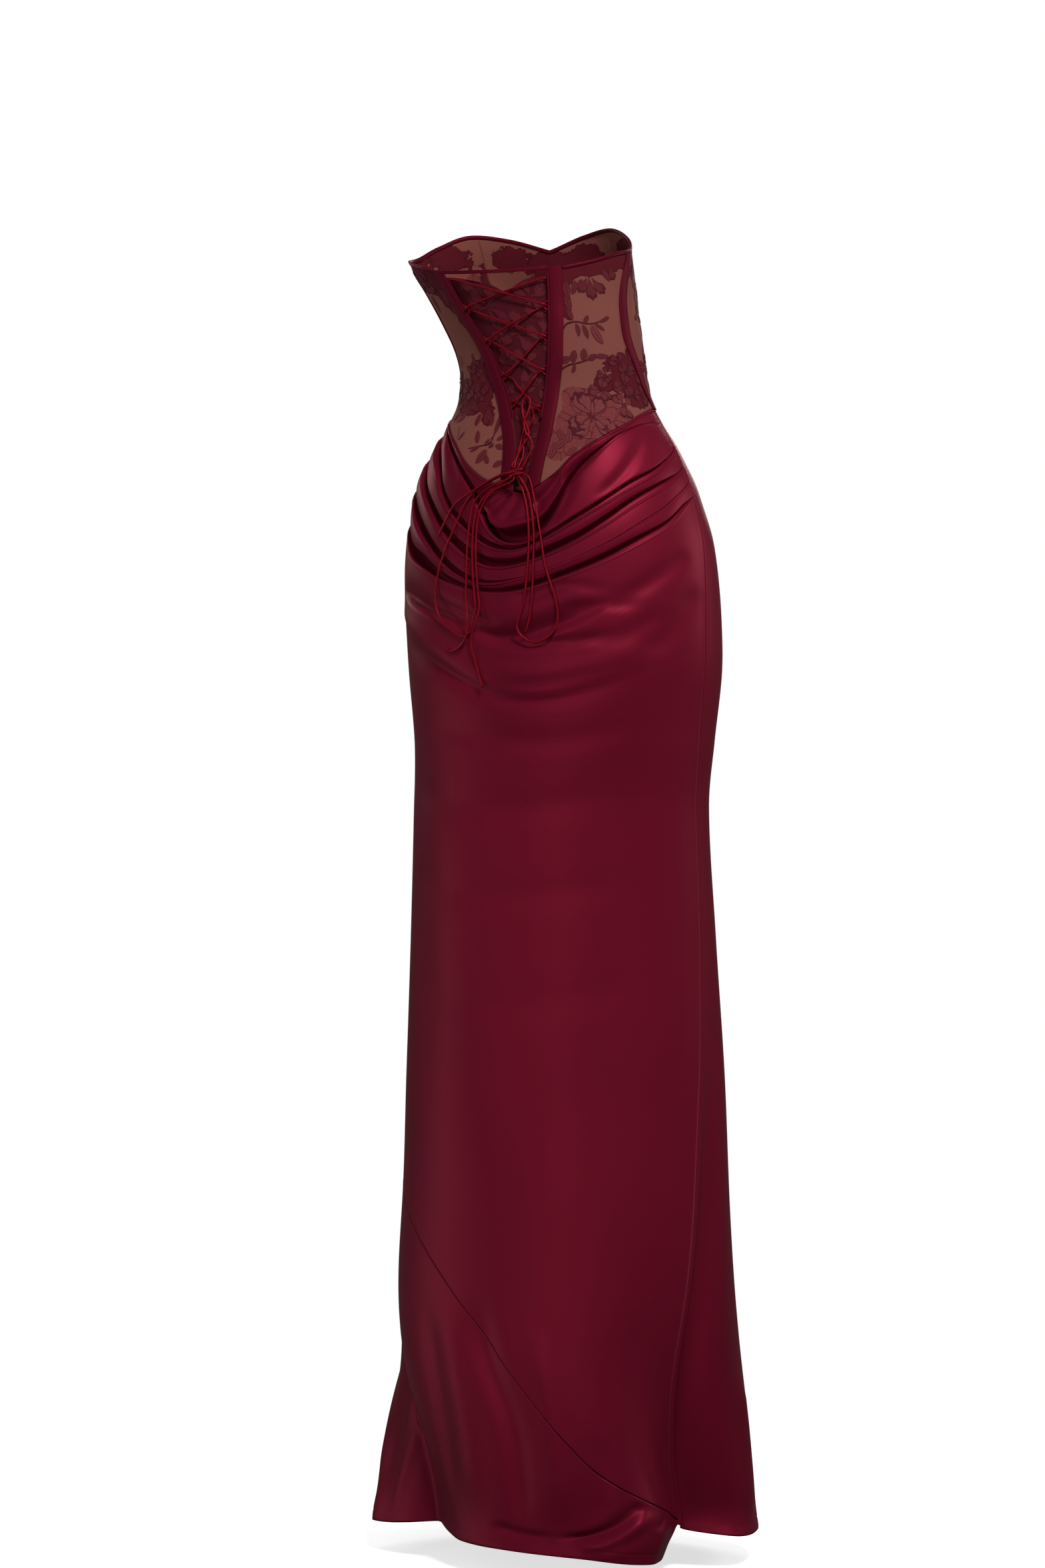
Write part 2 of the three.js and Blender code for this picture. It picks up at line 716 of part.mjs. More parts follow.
// The loose cords: each row is [angle, height, out], from the knot to its end.
const TAIL_SHORT = [
  [-3.5, -105, 9.2], [-6, -107.5, 8.7], [-8.5, -110.5, 8.1], [-11.2, -114, 7.6], [-13.8, -118, 7],
  [-16.4, -121.6, 6.4], [-18.9, -125, 5.8], [-21.2, -128, 5], [-23.2, -130.8, 4.3], [-25.1, -133.8, 3.5],
  [-26.7, -137, 3], [-28.2, -141.5, 2.5], [-29.5, -147, 2.2], [-31, -154, 2.2], [-32.5, -161.5, 2.2],
  [-33.9, -169, 2.2],
];
const LOOP_LEFT = [
  [-3.9, -105.8, 4.9], [-9, -111.5, 4.8], [-13.6, -117.5, 4.2], [-17.6, -125, 3.2], [-21.7, -137, 2.3],
  [-25.9, -162, 2.2], [-29.4, -183, 2.2], [-32.5, -205, 2.2], [-34.3, -222, 2.2], [-34.9, -237, 2.2],
  [-33.9, -251, 2.2], [-30.6, -263, 2.2], [-26.5, -271, 2.2], [-22.9, -276.6, 2.2], [-20.2, -277.8, 2.2],
  [-18.2, -272.5, 2.2], [-16.9, -262, 2.2], [-15.6, -247, 2.2], [-15.9, -233, 2.2], [-16.3, -215, 2.2],
  [-16.8, -192, 2.2], [-16.9, -167, 2.2], [-16.1, -147, 2.2], [-13.8, -133, 2.3], [-9, -121.5, 2.9],
  [-5.2, -115.5, 3.6], [-2.6, -111.8, 4.4],
];
const TAIL_CURLED = [
  [-2.2, -111.8, 9.4], [-6.5, -115, 7], [-10.8, -120, 4.9], [-14.6, -127, 3.3], [-17.3, -136, 2.3],
  [-18.4, -150, 2.2], [-19, -174, 2.2], [-19.1, -195, 2.2], [-19.2, -215, 2.2], [-19.5, -233, 2.4],
  [-19, -250, 3.4], [-18.4, -262, 4.9], [-18.7, -272, 5], [-20.2, -282, 4.9], [-23, -289.5, 3.9],
  [-27.3, -293.5, 2.6], [-29.8, -290.5, 2.2],
];
const TAIL_LONG = [
  [-0.3, -113, 6.6], [-3.8, -117.5, 6.5], [-8, -123, 5.7], [-11.3, -131, 4.3], [-13.6, -141, 3],
  [-14.8, -152, 2.3], [-15.3, -168, 2.2], [-15.2, -192, 2.2], [-14.7, -215, 2.2], [-14.3, -233, 2.2],
  [-13.9, -246, 2.6], [-14.3, -256, 3.9], [-15.6, -266, 5], [-17, -277, 5], [-17.4, -290, 4],
  [-16.6, -304, 2.6], [-15.5, -318, 2.2], [-14.2, -333, 2.2],
];
const LOOP_RIGHT = [
  [1.9, -113, 4.4], [3.2, -122, 3.4], [4.2, -133, 2.6], [4.9, -147, 2.2], [5.2, -169, 2.2],
  [5.1, -187, 2.2], [4.7, -205, 2.2], [3.8, -228, 2.2], [2.6, -246, 2.2], [1, -260, 2.2],
  [0.2, -269, 2.2], [1.6, -278, 2.2], [4.9, -284.6, 2.2], [8.7, -284, 2.2], [12.6, -276, 2.2],
  [14.7, -262, 2.2], [14.6, -247, 2.2], [13.6, -232, 2.2], [11.9, -215, 2.2], [10.6, -197, 2.2],
  [9.6, -175, 2.2], [8.8, -156, 2.2], [8.1, -140, 2.6], [7.4, -127, 3.4], [6.8, -116, 4.4],
  [5.6, -108, 5.2],
];
const TAIL_INNER = [
  [3.4, -112, 7.8], [4.9, -120, 5.9], [6, -131, 4], [6.5, -145, 2.6], [7, -165, 2.2],
  [7, -180, 2.2], [6.9, -193, 2.2], [6.7, -205, 2.2], [6.5, -217, 2.2], [6.2, -229, 2.2],
  [5.8, -240, 2.2], [5.3, -251, 2.2], [4.6, -262, 2.2], [3.8, -270, 2.2], [3.1, -274.5, 2.2],
];

// The lacing's sewn ends at the top and its loose stretch between the last loops and the knot.
const LACING_LEFT = {
  start: [[-30.7, 110.5, 0], [-26.5, 109.6, 0.5]],
  firstSide: 'right',
  crossingOut: 1.4,
  tail: [[-2.2, -38, -2], [-0.4, -46, -1.8], [1, -56, -1.7], [0.6, -68, -1.6], [0.1, -80, -0.6],
    [-0.1, -88, 1.4], [-1.3, -96, 3.9]],
};
const LACING_RIGHT = {
  start: [[25.8, 106.5, 0], [22, 105.4, -0.5]],
  firstSide: 'left',
  crossingOut: -1.4,
  tail: [[6.4, -44, 1.1], [4.4, -54, 1.1], [2.8, -64, 1.1], [2.4, -75, 1.2], [2.8, -86, 2.4], [1.9, -96, 4.6]],
};
const LACING_MIDDLE = [
  [0.4, -97, 7.4], [0.9, -86, 5.4], [2.6, -74, 4.2], [4.8, -64, 3.9], [3.4, -52, 3.9], [0.9, -40, 3.9],
  [0.2, -31, 4.2], [0.9, -24.6, 4.7], [2.5, -21.5, 5.1], [4.2, -24, 5.3], [4.6, -32, 5.4], [3.6, -42, 6.6],
  [2.6, -50, 6.7], [3.6, -60, 6.6], [6.4, -70, 4.8], [6.4, -81, 4.6], [4.9, -90, 5.4], [3.8, -97, 6],
];

function fromKnot(route) {
  const points = route.map(onCloth);
  return [offKnot(points[0]), ...points];
}

function toKnot(route) {
  const points = route.map(onCloth);
  return cord([...points, offKnot(points.at(-1))], CORD);
}

function bowLoop(route) {
  const points = fromKnot(route);
  return cord([...points, offKnot(points.at(-1))], CORD);
}

function bowTail(route) {
  return cord(fromKnot(route), CORD);
}

const group = new THREE.Group();

function add(name, geometry, finish, position = new THREE.Vector3()) {
  const mesh = new THREE.Mesh(geometry, new THREE.MeshStandardMaterial(finish));
  mesh.name = name;
  mesh.position.copy(position);
  group.add(mesh);
}

const backLeft = { ...laceEdges, left: leftSeam, right: leftOpening };
const backRight = { ...laceEdges, left: rightOpening, right: rightSeam };
const sideFrontRight = { ...laceEdges, left: rightSeam, right: rightFront };
const frontCentre = { ...laceEdges, left: rightFront, right: leftFront };
const sideFrontLeft = { ...laceEdges, left: leftFront, right: leftSeamRound };

add('bodice_back_left', lacePanel(backLeft, SIDE_COLUMNS), LACE);
add('bodice_back_right', lacePanel(backRight, SIDE_COLUMNS), LACE);
add('bodice_side_front_right', lacePanel(sideFrontRight, 9), LACE);
add('bodice_side_front_left', lacePanel(sideFrontLeft, 9), LACE);
add('bodice_front', lacePanel(frontCentre, 8), LACE);
add('modesty_panel', modestyPanel(), DENSE_LACE);

add('casing_back_left', casing(leftOpening, -CASING_WIDTH, 0, true), TRIM);
add('casing_back_right', casing(rightOpening, 0, CASING_WIDTH, true), TRIM);
add('casing_side_left', casing(leftSeamRound, -SIDE_CASING_WIDTH / 2, SIDE_CASING_WIDTH / 2, false), TRIM);
add('casing_side_right', casing(rightSeam, -SIDE_CASING_WIDTH / 2, SIDE_CASING_WIDTH / 2, false), TRIM);
add('casing_front_left', casing(leftFront, -FRONT_CASING_WIDTH / 2, FRONT_CASING_WIDTH / 2, false), TRIM);
add('casing_front_right', casing(rightFront, -FRONT_CASING_WIDTH / 2, FRONT_CASING_WIDTH / 2, false), TRIM);

const besideCasing = (opening, q) => beside(opening, 120, q);
const bindingGap = SEAM_GAP / 2 / millimetresPerDegree(95, 145);
const leftTop = meetingAngle(leftSeam, topEdge);
const rightTop = meetingAngle(rightSeam, topEdge);
const leftBack = besideCasing(leftOpening, -CASING_WIDTH - 2 * SEAM_GAP);
const rightBack = besideCasing(rightOpening, CASING_WIDTH + 2 * SEAM_GAP);
add('binding_back_left', binding(leftTop + bindingGap, leftBack, 8), TRIM);
add('binding_back_right', binding(rightBack, rightTop - bindingGap, 8), TRIM);
add('binding_front', binding(rightTop + bindingGap, 360 + leftTop - bindingGap, 28), TRIM);
add('back_strap', strap(), TRIM);

add('loop_tape_left', loopTape(leftOpening, LOOP_HEIGHTS.left, 1), TRIM);
add('loop_tape_right', loopTape(rightOpening, LOOP_HEIGHTS.right, -1), TRIM);
add('lacing_left', lacing(LACING_LEFT), CORD_SATIN);
add('lacing_right', lacing(LACING_RIGHT), CORD_SATIN);
add('lacing_middle', bowLoop(LACING_MIDDLE), CORD_SATIN);
add('bow_knot', knot(), CORD_SATIN, knotCentre);
add('bow_loop_left', bowLoop(LOOP_LEFT), CORD_SATIN);
add('bow_loop_right', bowLoop(LOOP_RIGHT), CORD_SATIN);
add('tail_short', bowTail(TAIL_SHORT), CORD_SATIN);
add('tail_curled', bowTail(TAIL_CURLED), CORD_SATIN);
add('tail_long', bowTail(TAIL_LONG), CORD_SATIN);
add('tail_inner', bowTail(TAIL_INNER), CORD_SATIN);

// Where the columns of some lace panels end along the basque edge, each as a fraction of the
// way from the satin's one side seam to its other. The satin takes up the same columns.
function columnsAlong(panels, left, right) {
  const stops = panels.flatMap(([bounds, columns], index) => (
    Array.from({ length: columns + 1 }, (_, i) => {
      const [angle, height] = panelPlace(bounds, i / columns, 0);
      return index > 0 && i === 0 && bounds.left === panels[index - 1][0].right
        ? null : (angle - left(height)) / (right(height) - left(height));
    })
  )).filter((stop) => stop !== null);
  stops[0] = 0;
  stops[stops.length - 1] = 1;
  return stops;
}

const backStops = columnsAlong([[backLeft, SIDE_COLUMNS], [backRight, SIDE_COLUMNS]], leftSeam, rightSeam);
const frontStops = columnsAlong(
  [[sideFrontRight, 9], [frontCentre, 8], [sideFrontLeft, 9]],
  rightSeam,
  leftSeamRound,
);

// The back skirt's columns follow the side seams down, so a column's angle is settled at the
// height of each of its rows.
function backColumns(rowsAt) {
  const count = rowsAt(0).length;
  return backStops.map((u) => Array.from({ length: count }, (_, j) => {
    let height = -200;
    let angle = 0;
    let out = 0;
    for (let k = 0; k < 12; k += 1) {
      angle = lerp(leftSeam(height), rightSeam(height), u);
      [height, out] = rowsAt(angle)[j];
    }
    const inset = SEAM_GAP / 2 / millimetresPerDegree(angle, height);
    return [angle + inset * (1 - 2 * u), height, out];
  }));
}

const frontBounds = {
  left: rightSeam, right: leftSeamRound, bottom: frontHem, top: (angle) => basqueEdge(angle) - SEAM_GAP / 2,
};

// The heights at which the back's pieces have points along a side seam, from the hem up.
function seamHeights(pieces, pick) {
  const heights = pieces.flatMap((columns) => pick(columns).map(([, height]) => height));
  return heights.filter((height, k) => k === 0 || height - heights[k - 1] > 2 * SEAM_GAP);
}

// The front's edges have the points of the back at both side seams.
function frontSkirt() {
  const edge = (seam, heights) => heights.map((height) => [seam(height), height]);
  const right = edge(rightSeam, seamHeights([skirtBack, hipBand], (columns) => columns.at(-1)));
  const left = edge(leftSeamRound, seamHeights([lowerBack, skirtBack, hipBand], (columns) => columns[0]));
  const inner = frontStops.slice(1, -1).map((u) => (
    Array.from({ length: FRONT_ROWS + 1 }, (_, j) => (
      panelPlace(frontBounds, u, (j / FRONT_ROWS) ** FRONT_EASE)
    ))
  ));
  const columns = [
    right.map(([angle, height]) => [angle + SEAM_GAP / 2 / millimetresPerDegree(angle, height), height]),
    ...inner,
    left.map(([angle, height]) => [angle - SEAM_GAP / 2 / millimetresPerDegree(angle, height), height]),
  ];
  return columns.map((column) => column.map(([angle, height]) => [angle, height, flare(angle, height)]));
}

// The lower back shares its columns with the skirt above the diagonal seam, and stops short
// of the right seam, where the diagonal runs out at the hem.
function lowerBackPlaces() {
  const bounds = {
    left: leftSeam, right: rightSeam, bottom: backHem, top: (angle) => diagonal(angle) - SEAM_GAP / 2,
  };
  return backStops.slice(0, -2).map((u) => (
    Array.from({ length: LOWER_ROWS + 1 }, (_, j) => {
      const [angle, height] = panelPlace(bounds, u, j / LOWER_ROWS);
      return [angle, height, flare(angle, height)];
    })
  ));
}

const hipBand = backColumns((angle) => hipBandRows(angle).reverse());
const skirtBack = backColumns(skirtBackRows);
const lowerBack = lowerBackPlaces();
add('hip_band', satinWall(hipBand), SATIN);
add('skirt_back', satinWall(skirtBack), SATIN);
add('skirt_lower_back', satinWall(lowerBack), SATIN);
add('skirt_front', satinWall(frontSkirt()), SATIN);

export default group;
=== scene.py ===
# %% [markdown]
# # A strapless corset gown
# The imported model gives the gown's solids as a fixed frame. Every piece below is made in the
# same frame, in metres, and stands for one or more of those solids. The tables are in
# millimetres and degrees, as a pattern cutter would measure a dress on a stand: an angle
# round the body (0 at the centre back), a height above the waist and a distance out.

# %% Load the frame
import math
import bpy
import numpy as np
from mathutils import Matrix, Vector


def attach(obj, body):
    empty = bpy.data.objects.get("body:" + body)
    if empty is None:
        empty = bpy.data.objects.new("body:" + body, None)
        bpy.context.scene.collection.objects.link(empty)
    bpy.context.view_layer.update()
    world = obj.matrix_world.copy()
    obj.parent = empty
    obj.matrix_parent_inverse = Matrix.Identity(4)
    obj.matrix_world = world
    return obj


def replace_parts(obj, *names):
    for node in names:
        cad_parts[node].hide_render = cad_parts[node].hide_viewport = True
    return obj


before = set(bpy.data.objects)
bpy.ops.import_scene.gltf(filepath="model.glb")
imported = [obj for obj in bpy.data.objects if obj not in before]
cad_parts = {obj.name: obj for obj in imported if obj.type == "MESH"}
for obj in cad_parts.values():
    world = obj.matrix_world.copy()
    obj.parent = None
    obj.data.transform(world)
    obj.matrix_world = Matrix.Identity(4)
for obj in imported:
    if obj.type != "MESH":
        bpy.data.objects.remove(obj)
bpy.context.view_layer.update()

MM = 0.001  # the tables' millimetres in metres

# %% [markdown]
# ## The camera
# The gown is seen from behind and a little from its right, almost level and from far away,
# so a long lens is used: it keeps the column of the skirt straight.

# %% Camera
LENS = 101.39
CAMERA_PLACE = Vector((-1.8351, 4.4349, -0.4355))
CAMERA_LOOK = Vector((0.3907, -0.9205, 0.0))

camera = bpy.data.objects.new("camera", bpy.data.cameras.new("camera"))
bpy.context.scene.collection.objects.link(camera)
camera.data.lens = LENS
camera.data.clip_end = 50  # metres
camera.location = CAMERA_PLACE
camera.rotation_euler = CAMERA_LOOK.to_track_quat("-Z", "Y").to_euler()
bpy.context.scene.camera = camera
bpy.context.scene.view_settings.view_transform = "Standard"
print("camera at", tuple(camera.location))

# %% [markdown]
# ## Smooth curves through a few measurements
# A dress is measured at a few heights, and cloth runs smoothly between them. The helper
# joins the measurements with cubic pieces, and works on whole arrays at once.

# %% Smooth curves
def smooth(xs, ys, x):
    """Cubic pieces through (xs, ys); the slope at each point is that of the line between its
    neighbours. Level beyond both ends."""
    xs, ys = np.asarray(xs, float), np.asarray(ys, float)
    last = len(xs) - 1
    at = np.clip(x, xs[0], xs[-1])
    i = np.clip(np.searchsorted(xs, at, side="left") - 1, 0, last - 1)
    after = np.minimum(np.arange(last + 1) + 1, last)
    before = np.maximum(np.arange(last + 1) - 1, 0)
    slope = (ys[after] - ys[before]) / (xs[after] - xs[before])
    step = xs[i + 1] - xs[i]
    s = (at - xs[i]) / step
    blend = s * s * (3 - 2 * s)
    bend = s * (1 - s) ** 2 * slope[i] - s * s * (1 - s) * slope[i + 1]
    return ys[i] * (1 - blend) + ys[i + 1] * blend + step * bend


def ease(x, low, high):
    """0 below low, 1 above high, and a smooth S between them."""
    s = np.clip((x - low) / (high - low), 0, 1)
    return s * s * (3 - 2 * s)


def lerp(a, b, s):
    """The straight mix of a and b."""
    return a + (b - a) * s


def bell(x, middle, width):
    """1 at the middle, and e to the minus square of the widths away from it."""
    return np.exp(-((x - middle) / width) ** 2)


def curves(rows):
    """Each further column of a small table as a smooth function of its first column."""
    first, *others = np.array(rows, float).T
    return [lambda x, values=values: smooth(first, values, x) for values in others]


# %% [markdown]
# ## The gown's form
# The same sections as the solids': half the width, the depths behind and before, and the
# sideways lean. A point is an ellipse's point at an angle, moved out from it.

# %% Form
# by height: half the width, the depths behind and before, and the sideways lean
half_width, depth_behind, depth_before, lean = curves([
    (-1262, 214, 160, 190, 0), (-1150, 204, 154, 170, 0), (-1040, 195, 149, 154, 0),
    (-895, 184.5, 138, 135, -3), (-750, 180, 127, 122, -2.5), (-600, 173, 120, 113, 0),
    (-460, 167.5, 119, 109, 2), (-388, 170, 123, 111, -2), (-315, 177, 128, 114, -3),
    (-260, 178.5, 129, 114, -1), (-207, 177.5, 126, 111, 2), (-170, 173.5, 121, 108, 4),
    (-134, 165, 114, 104, 7), (-112, 159, 109, 101, 9), (-91, 149, 104, 97, 9.5),
    (-69, 136.5, 98, 93, 9), (-47, 122, 92, 88, 9), (-25, 110.5, 86, 83, 9),
    (-4, 106, 82, 80, 10), (18, 104.3, 81, 81, 11.5), (40, 105.5, 80, 85, 16.5),
    (62, 109, 79, 90, 24), (83, 112.5, 78, 94, 32.5), (105, 118, 78, 96, 41),
    (127, 125, 78, 96, 49), (180, 131, 78, 98, 60),
])
# by height: the angles of the left and the right side seam
left_seam, right_seam_line = curves([
    (-1262, -39, 75), (-1231, -40, 74), (-1167, -48, 66), (-1111, -57, 62), (-1053, -68, 61),
    (-967, -78, 64), (-869, -83.6, 68), (-807, -84.5, 70), (-673, -84.5, 75),
    (-529, -84.5, 79.5), (-439, -84.5, 79.5), (-343, -84.5, 77), (-279, -84.8, 77.8),
    (-217, -85.8, 80), (-151, -88.2, 83.8), (-80, -92.4, 89.6), (-31, -96, 95),
    (-5, -88, 87), (43, -80, 74), (87, -82, 78), (150, -97, 96),
])
# by height: how far the front seams lie from the centre front
(front_seam_away,) = curves([(-100, 17), (-40, 19), (10, 23), (60, 29), (105, 33), (180, 36)])
# by height: the angles of the two edges of the laced opening
left_opening, right_opening = curves([
    (-130, -1, 4.6), (-108, -1, 5.6), (-81, -1.4, 7.5), (-57, -3.5, 9.8), (-23, -10, 12.7),
    (7, -17.5, 15.2), (37, -24, 18.2), (67, -29.5, 22.5), (95, -32.5, 26.5), (130, -32.5, 29.5),
])
# by angle: the heights of the top edge and of the lace's pointed lower edge
(top_line,) = curves([
    (-180, 158), (-160, 172), (-140, 176), (-120, 162), (-99, 146), (-73, 138), (-48, 127),
    (-33, 120), (0, 117), (31, 119), (51, 126), (75, 137), (99, 145), (120, 162), (140, 176),
    (160, 172), (180, 158),
])
(basque_line,) = curves([
    (-180, -92), (-150, -72), (-120, -44), (-95, -33), (-78, -37), (-60, -46), (-39, -67),
    (-23, -95), (-12, -112), (3, -126), (9, -118), (16, -105), (24, -86), (40, -65), (56, -51),
    (72, -39), (95, -31), (120, -42), (150, -72), (180, -92),
])
CUP_RISE, CUP_ANGLE, CUP_HEIGHT, CUP_WIDE, CUP_HIGH = 20, 33, 105, 24, 48
# how many degrees the right seam's lowest corner turns in, and between which drops
CORNER_TURN, CORNER_START, CORNER_END = 9, 1208, 1262
HIP_SCALE = 1.75  # about how many millimetres a degree spans round the hips


def wrap(angle):
    """The same angle between -180 and 180."""
    return np.where(np.asarray(angle) > 180, np.asarray(angle) - 360, angle)


def cups(angle, height):
    """The bust shaping: a soft round hill either side of the centre front."""
    across = bell(np.abs(wrap(angle + 180)), CUP_ANGLE, CUP_WIDE)
    return CUP_RISE * across * bell(height, CUP_HEIGHT, CUP_HIGH)


def on_form(angle, height, out=0.0):
    """Points in metres: x is the lean less half the width times the sine of the angle, y is
    the depth times its cosine, both widened by the distance out."""
    angle, height, out = np.broadcast_arrays(np.asarray(angle, float), height, out)
    turn = np.radians(angle)
    out = out + cups(angle, height)
    depth = np.where(np.cos(turn) > 0, depth_behind(height), depth_before(height))
    x = lean(height) - (half_width(height) + out) * np.sin(turn)
    return np.stack([x, (depth + out) * np.cos(turn), height], axis=-1) * MM


def right_seam(height):
    """The right side seam; its lowest corner turns in below the front's hem."""
    return right_seam_line(height) - CORNER_TURN * ease(-height, CORNER_START, CORNER_END)


def left_seam_round(height):
    return 360 + left_seam(height)


def right_front(height):
    return 180 - front_seam_away(height)


def left_front(height):
    return 180 + front_seam_away(height)


def top_edge(angle):
    return top_line(wrap(angle))


def basque_edge(angle):
    return basque_line(wrap(angle))


def mm_per_degree(angle, height):
    """How far apart two angles a degree apart lie on the form."""
    apart = on_form(angle + 0.5, height) - on_form(angle - 0.5, height)
    return np.linalg.norm(apart, axis=-1) / MM


def beside(seam, height, q):
    """The angle q millimetres round the body from a seam."""
    return seam(height) + q / mm_per_degree(seam(height), height)


def walked(path):
    """The length of a line of points."""
    return float(np.linalg.norm(np.diff(path, axis=0), axis=1).sum())


print("waist round", round(walked(on_form(np.arange(0, 361, 2), 0)), 3))

# %% [markdown]
# ## Meshes from grids
# Every new surface is a grid of points, first round the body and then up it. One helper
# makes a mesh of it with a texture map in metres along the cloth, so that weave and stitches
# keep their real scale, and gives the cloth a thin wall.

# %% Grid meshes
def grid_quads(columns, rows):
    """The four corners of each cell of a grid of points, turned so that it faces outwards."""
    i, j = np.meshgrid(np.arange(columns - 1), np.arange(rows - 1), indexing="ij")
    corner = i * rows + j
    return np.stack([corner, corner + rows, corner + rows + 1, corner + 1], axis=-1).reshape(-1, 4)


def metre_map(points):
    """A map whose two numbers are the mean distances walked along the grid, in metres."""
    across = np.linalg.norm(np.diff(points, axis=0), axis=-1).mean(axis=1)
    along = np.linalg.norm(np.diff(points, axis=1), axis=-1).mean(axis=0)
    u = np.concatenate([[0], np.cumsum(across)])
    v = np.concatenate([[0], np.cumsum(along)])
    return np.stack(np.meshgrid(u, v, indexing="ij"), axis=-1)


def mesh_piece(name, points, quads, uv, material, masks=None):
    """An object at the origin from points, quads, a map and named numbers per point."""
    mesh = bpy.data.meshes.new(name)
    mesh.from_pydata(points.reshape(-1, 3), [], quads)
    layer = mesh.uv_layers.new(name="UVMap")
    layer.data.foreach_set("uv", uv.reshape(-1, 2)[quads.ravel()].ravel())
    for mask, values in (masks or {}).items():
        mesh.attributes.new(mask, "FLOAT", "POINT").data.foreach_set("value", values.ravel())
    mesh.polygons.foreach_set("use_smooth", np.ones(len(quads), bool))
    mesh.update()
    piece = bpy.data.objects.new(name, mesh)
    bpy.context.scene.collection.objects.link(piece)
    piece.data.materials.append(material)
    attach(piece, "root")
    return piece


def cloth(name, places, material, wall, masks=None):
    """A cloth surface from a grid of (angle, height, out), with a wall turned inwards, or a
    closed strip that needs no wall."""
    points = on_form(places[..., 0], places[..., 1], places[..., 2])
    piece = mesh_piece(name, points, grid_quads(*points.shape[:2]), metre_map(points),
                       material, masks)
    if wall:
        solidify = piece.modifiers.new("wall", "SOLIDIFY")
        solidify.thickness = wall * MM
        solidify.offset = -1
    return piece


def cloth_area(piece):
    """The area of a piece's own mesh, without its wall, in square metres."""
    areas = np.empty(len(piece.data.polygons))
    piece.data.polygons.foreach_get("area", areas)
    return float(areas.sum())


def finer_ends(count, ends=(0.0, 0.0012, 0.0026, 0.0045, 0.0075, 0.012)):
    """Shares from 0 to 1, even in the middle and close together at both ends."""
    middle = np.linspace(0.02, 0.98, count - 2 * len(ends))
    return np.concatenate([ends, middle, 1 - np.array(ends)[::-1]])


def settled(angle_at, bottom, top, columns, up, out=0.0):
    """Places on the form whose angle follows from the height, and whose height lies at the
    shares up between two edges. The two are worked out in turn until they agree."""
    height = np.zeros((columns, up.size))
    for _ in range(10):
        angle = angle_at(height)
        height = lerp(bottom(angle), top(angle), up[None, :])
    return np.stack([angle, height, np.broadcast_to(out, angle.shape)], axis=-1)


def panel(left, right, bottom, top, across, up):
    """Places between two seams and two edges. The columns and rows are a count or the shares
    themselves."""
    across, up = (np.linspace(0, 1, x) if np.isscalar(x) else x for x in (across, up))
    return settled(lambda height: lerp(left(height), right(height), across[:, None]), bottom, top,
                   across.size, up)


# %% [markdown]
# ## Shader maths
# A wrapped socket lets node maths be written as an ordinary expression.

# %% Shader helper
class Field:
    """A shader socket that can be added, multiplied and so on like a number."""

    def __init__(self, finish, socket):
        self.finish, self.socket = finish, socket

    def maths(self, operation, *others):
        return self.finish.add("ShaderNodeMath", {"operation": operation}, self, *others)

    def __add__(self, other):
        return self.maths("ADD", other)

    def __mul__(self, other):
        return self.maths("MULTIPLY", other)

    def __sub__(self, other):
        return self.maths("SUBTRACT", other)

    def __rsub__(self, other):
        return self.finish.add("ShaderNodeMath", {"operation": "SUBTRACT"}, other, self)

    __radd__, __rmul__ = __add__, __mul__

    def sine(self):
        return self.maths("SINE")

    def size(self):
        return self.maths("ABSOLUTE")

    def ramp(self, low, high):
        """0 below low and 1 above high, smoothly."""
        settings = {"interpolation_type": "SMOOTHSTEP"}
        return self.finish.add("ShaderNodeMapRange", settings, self, low, high)

    def part(self, name):
        """One of the three numbers of a vector socket."""
        node = self.finish.tree.nodes.new("ShaderNodeSeparateXYZ")
        self.finish.tree.links.new(self.socket, node.inputs[0])
        return Field(self.finish, node.outputs[name])


